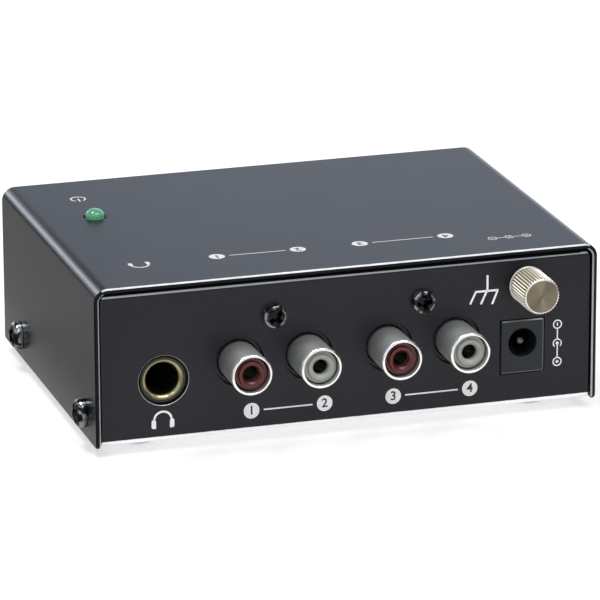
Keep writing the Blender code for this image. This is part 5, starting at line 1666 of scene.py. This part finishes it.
signs = panel_signs()
dress(signs, "case", "chassis_paint")
panel_numbers = numbers_on("panel_numbers", PANEL_DISCS, 0, ON_PANEL)
dress(panel_numbers, "case", "chassis_paint")

# %% [markdown]
# The top repeats the signs near its front edge, for someone who looks down from behind. They are
# printed the other way up. A plain power sign stands beside the light.

# %% Signs on the top
POWER_LINE = 0.36
TOP_DISCS = [(-23.0, -19.0), (-6.3, -19.2), (6.6, -19.3), (24.6, -19.4)]


def top_signs():
    ink = Ink()
    headphone_sign(ink, -39.0, -19.9, 0.95, -1)
    paired_discs(ink, TOP_DISCS, 2.6)
    ink.ring(-39.0, 28.5, 1.5, POWER_LINE, -60, 240)
    ink.stroke([(-39.0, 28.6), (-39.0, 26.6)], POWER_LINE)
    polarity_sign(ink, [(33.0, -24.0), (36.6, -24.0), (40.2, -24.0)])
    return ink.finish("top_signs", white_ink, ON_TOP)


signs = top_signs()
dress(signs, "case", "cover_paint")
top_numbers = numbers_on("top_numbers", TOP_DISCS, pi, ON_TOP)
dress(top_numbers, "case", "cover_paint")

# %% [markdown]
# ## Floor, surround and lamps
#
# The object stands on a plain white floor in a white room. A surround bright enough to look white
# would bleach the colours if it lit them in full. So the Light Path node gives the camera, mirror
# rays and clear rays the full white, and lets only a softer white light the surfaces.
#
# A black case shows nothing but its surroundings, so they are shaped for it. The white that it mirrors is
# slightly blue, like daylight, and the ceiling darkens overhead. Beside the left wall the floor has a
# grey step that is seen in gloss alone, a painted shadow. Far away the floor glows a little, so no
# horizon line shows.

# %% Floor and surround
SOFT_LIGHT = 0.32
CEILING_LIGHT = 0.3
CEILING_HEIGHTS = (0.5, 0.75)
FLOOR_GLOW = 0.5
GREY_STEP = (-62 * MM, -46 * MM)
GLOW_DISTANCES = (0.2, 0.7)


def seen_directly(tree):
    """One where a camera, mirror or clear ray looks, zero where light only bounces softly."""
    path = add_node(tree, "ShaderNodeLightPath")
    first = add_node(tree, "ShaderNodeMath", {
        0: path.outputs["Is Camera Ray"], 1: path.outputs["Is Glossy Ray"]}, operation="ADD")
    return add_node(tree, "ShaderNodeMath", {
        0: first, 1: path.outputs["Is Transmission Ray"]}, operation="ADD", use_clamp=True)


def make_surround():
    world = bpy.data.worlds.new("white_room")
    bpy.context.scene.world = world
    world.use_nodes = True
    tree = world.node_tree
    room = tree.nodes["Background"]
    path = add_node(tree, "ShaderNodeLightPath")
    hue = add_node(tree, "ShaderNodeMix", {
        "Factor": path.outputs["Is Glossy Ray"], "A": linear("#ffffff"), "B": linear("#e4edff")},
        data_type="RGBA")
    feed(room, {"Color": hue})
    direction = add_node(tree, "ShaderNodeTexCoord")
    split = add_node(tree, "ShaderNodeSeparateXYZ", {"Vector": direction.outputs["Generated"]})
    walls = add_node(tree, "ShaderNodeMapRange", {
        "Value": split.outputs["Z"], "From Min": CEILING_HEIGHTS[0], "From Max": CEILING_HEIGHTS[1],
        "To Min": 1.0, "To Max": CEILING_LIGHT})
    mirrored = add_node(tree, "ShaderNodeMath", {
        0: walls, 1: path.outputs["Is Camera Ray"]}, operation="MAXIMUM")
    strength = add_node(tree, "ShaderNodeMix", {
        "Factor": seen_directly(tree), "A": SOFT_LIGHT, "B": mirrored}, data_type="FLOAT")
    feed(room, {"Strength": strength})


def make_floor():
    material, tree, shader = new_finish(
        "matt_white_studio_floor", "#d2d2d2", 0.9, Specular_IOR_Level=0.0,
        Emission_Color=linear("#ffffff"))
    glow = add_node(tree, "ShaderNodeMapRange", {
        "Value": seen_directly(tree), "To Min": 0.0, "To Max": FLOOR_GLOW})
    place = add_node(tree, "ShaderNodeTexCoord")
    split = add_node(tree, "ShaderNodeSeparateXYZ", {"Vector": place.outputs["Object"]})
    # The grey step beside the left wall is a painted shadow.
    side = add_node(tree, "ShaderNodeMapRange", {
        "Value": split.outputs["X"], "From Min": GREY_STEP[0], "From Max": GREY_STEP[1]})
    path = add_node(tree, "ShaderNodeLightPath")
    lit = add_node(tree, "ShaderNodeMath", {
        0: side, 1: path.outputs["Is Camera Ray"]}, operation="MAXIMUM")
    falling = add_node(tree, "ShaderNodeMath", {0: glow, 1: lit}, operation="MULTIPLY")
    away = add_node(tree, "ShaderNodeVectorMath", {0: place.outputs["Object"]}, operation="LENGTH")
    far = add_node(tree, "ShaderNodeMapRange", {
        "Value": away, "From Min": GLOW_DISTANCES[0], "From Max": GLOW_DISTANCES[1]})
    seen_far = add_node(tree, "ShaderNodeMath", {
        0: far, 1: path.outputs["Is Camera Ray"]}, operation="MULTIPLY")
    strength = add_node(tree, "ShaderNodeMath", {0: falling, 1: seen_far})
    feed(shader, {"Emission Strength": strength})
    tone = add_node(tree, "ShaderNodeMix", {
        "Factor": lit, "A": linear("#a2a2a2"), "B": linear("#d2d2d2")}, data_type="RGBA")
    feed(shader, {"Base Color": tone})
    shape = bmesh.new()
    bmesh.ops.create_grid(shape, x_segments=8, y_segments=8, size=2.0)
    floor = mesh_object("studio_floor", shape, material)
    if floor.data.polygons[0].normal.z < 0:
        floor.data.flip_normals()


make_surround()
make_floor()
print("World:", bpy.context.scene.world.name)

# %% [markdown]
# Four soft lamps finish the light. The large one overhead, a little to the right, draws the bright lines
# along upper edges. One over the left rear corner lights the top and rounds the barrels of the sockets.
# A narrow one low behind the left side is mirrored in the cover's left bend. A weak one near the camera
# opens the shadows in the sockets.

# %% Lamps
def soft_lamp(name, place, width, height, power, target=(0, 0, 0.02)):
    """A white area lamp that looks at a point. Sizes are in metres and power in watts."""
    lamp = bpy.data.lights.new(name, "AREA")
    lamp.shape = "RECTANGLE"
    lamp.size = width
    lamp.size_y = height
    lamp.energy = power
    item = bpy.data.objects.new(name, lamp)
    look = Vector(target) - Vector(place)
    item.matrix_world = Matrix.Translation(place) @ look.to_track_quat("-Z", "Y").to_matrix().to_4x4()
    item.visible_camera = False
    bpy.context.scene.collection.objects.link(item)
    return item


soft_lamp("overhead_lamp", (0.20, -0.40, 0.88), width=0.8, height=0.42, power=5.2)
soft_lamp("upper_left_lamp", (-0.28, 0.16, 0.90), width=0.3, height=0.3, power=4.0)
soft_lamp("left_rear_strip", (-0.33, 0.95, 0.31), width=0.12, height=0.26, power=0.24,
          target=(-0.05, 0, 0.03))
soft_lamp("front_fill", (-0.45, -0.55, 0.70), width=0.25, height=0.25, power=0.7)
print("Lamps:", len(bpy.data.lights))

# %% [markdown]
# Photographers put black boards, called flags, where a glossy thing would mirror too much white. These
# three are seen in gloss alone: they cast no shadow and take no light from anything else. The low one
# darkens the rear end of the cover's left bend. The high one shades the top towards its rear. The right
# one shades the sides of the sockets and of the knob that face away from the lamps.

# %% Flags
flag_cloth, tree, shader = new_finish("black_felt", "#050505", 0.9)


def flag(name, place, width, height, target=(0, 0, 0.03)):
    """A dark board that is seen only in gloss. It faces a point on or beside the case."""
    shape = bmesh.new()
    bmesh.ops.create_grid(shape, x_segments=4, y_segments=4, size=0.5)
    look = (Vector(target) - Vector(place)).to_track_quat("Z", "Y").to_matrix().to_4x4()
    spread = Matrix.Diagonal((width, height, 1, 1))
    bmesh.ops.transform(shape, matrix=Matrix.Translation(place) @ look @ spread, verts=shape.verts)
    board = mesh_object(name, shape, flag_cloth)
    for kind in ("camera", "diffuse", "shadow", "transmission", "volume_scatter"):
        setattr(board, "visible_" + kind, False)


flag("low_flag", (-0.49, 1.10, 0.05), width=0.30, height=0.16)
flag("high_flag", (0.02, 1.08, 0.60), width=0.44, height=0.32)
flag("right_flag", (0.15, -0.13, 0.045), width=0.30, height=0.09, target=(0, -0.13, 0.045))
print("Flags ready")

# %% [markdown]
# ## Finish
#
# Colours go to the screen as they are, with the Standard view.

# %% View
scene = bpy.context.scene
scene.view_settings.view_transform = "Standard"
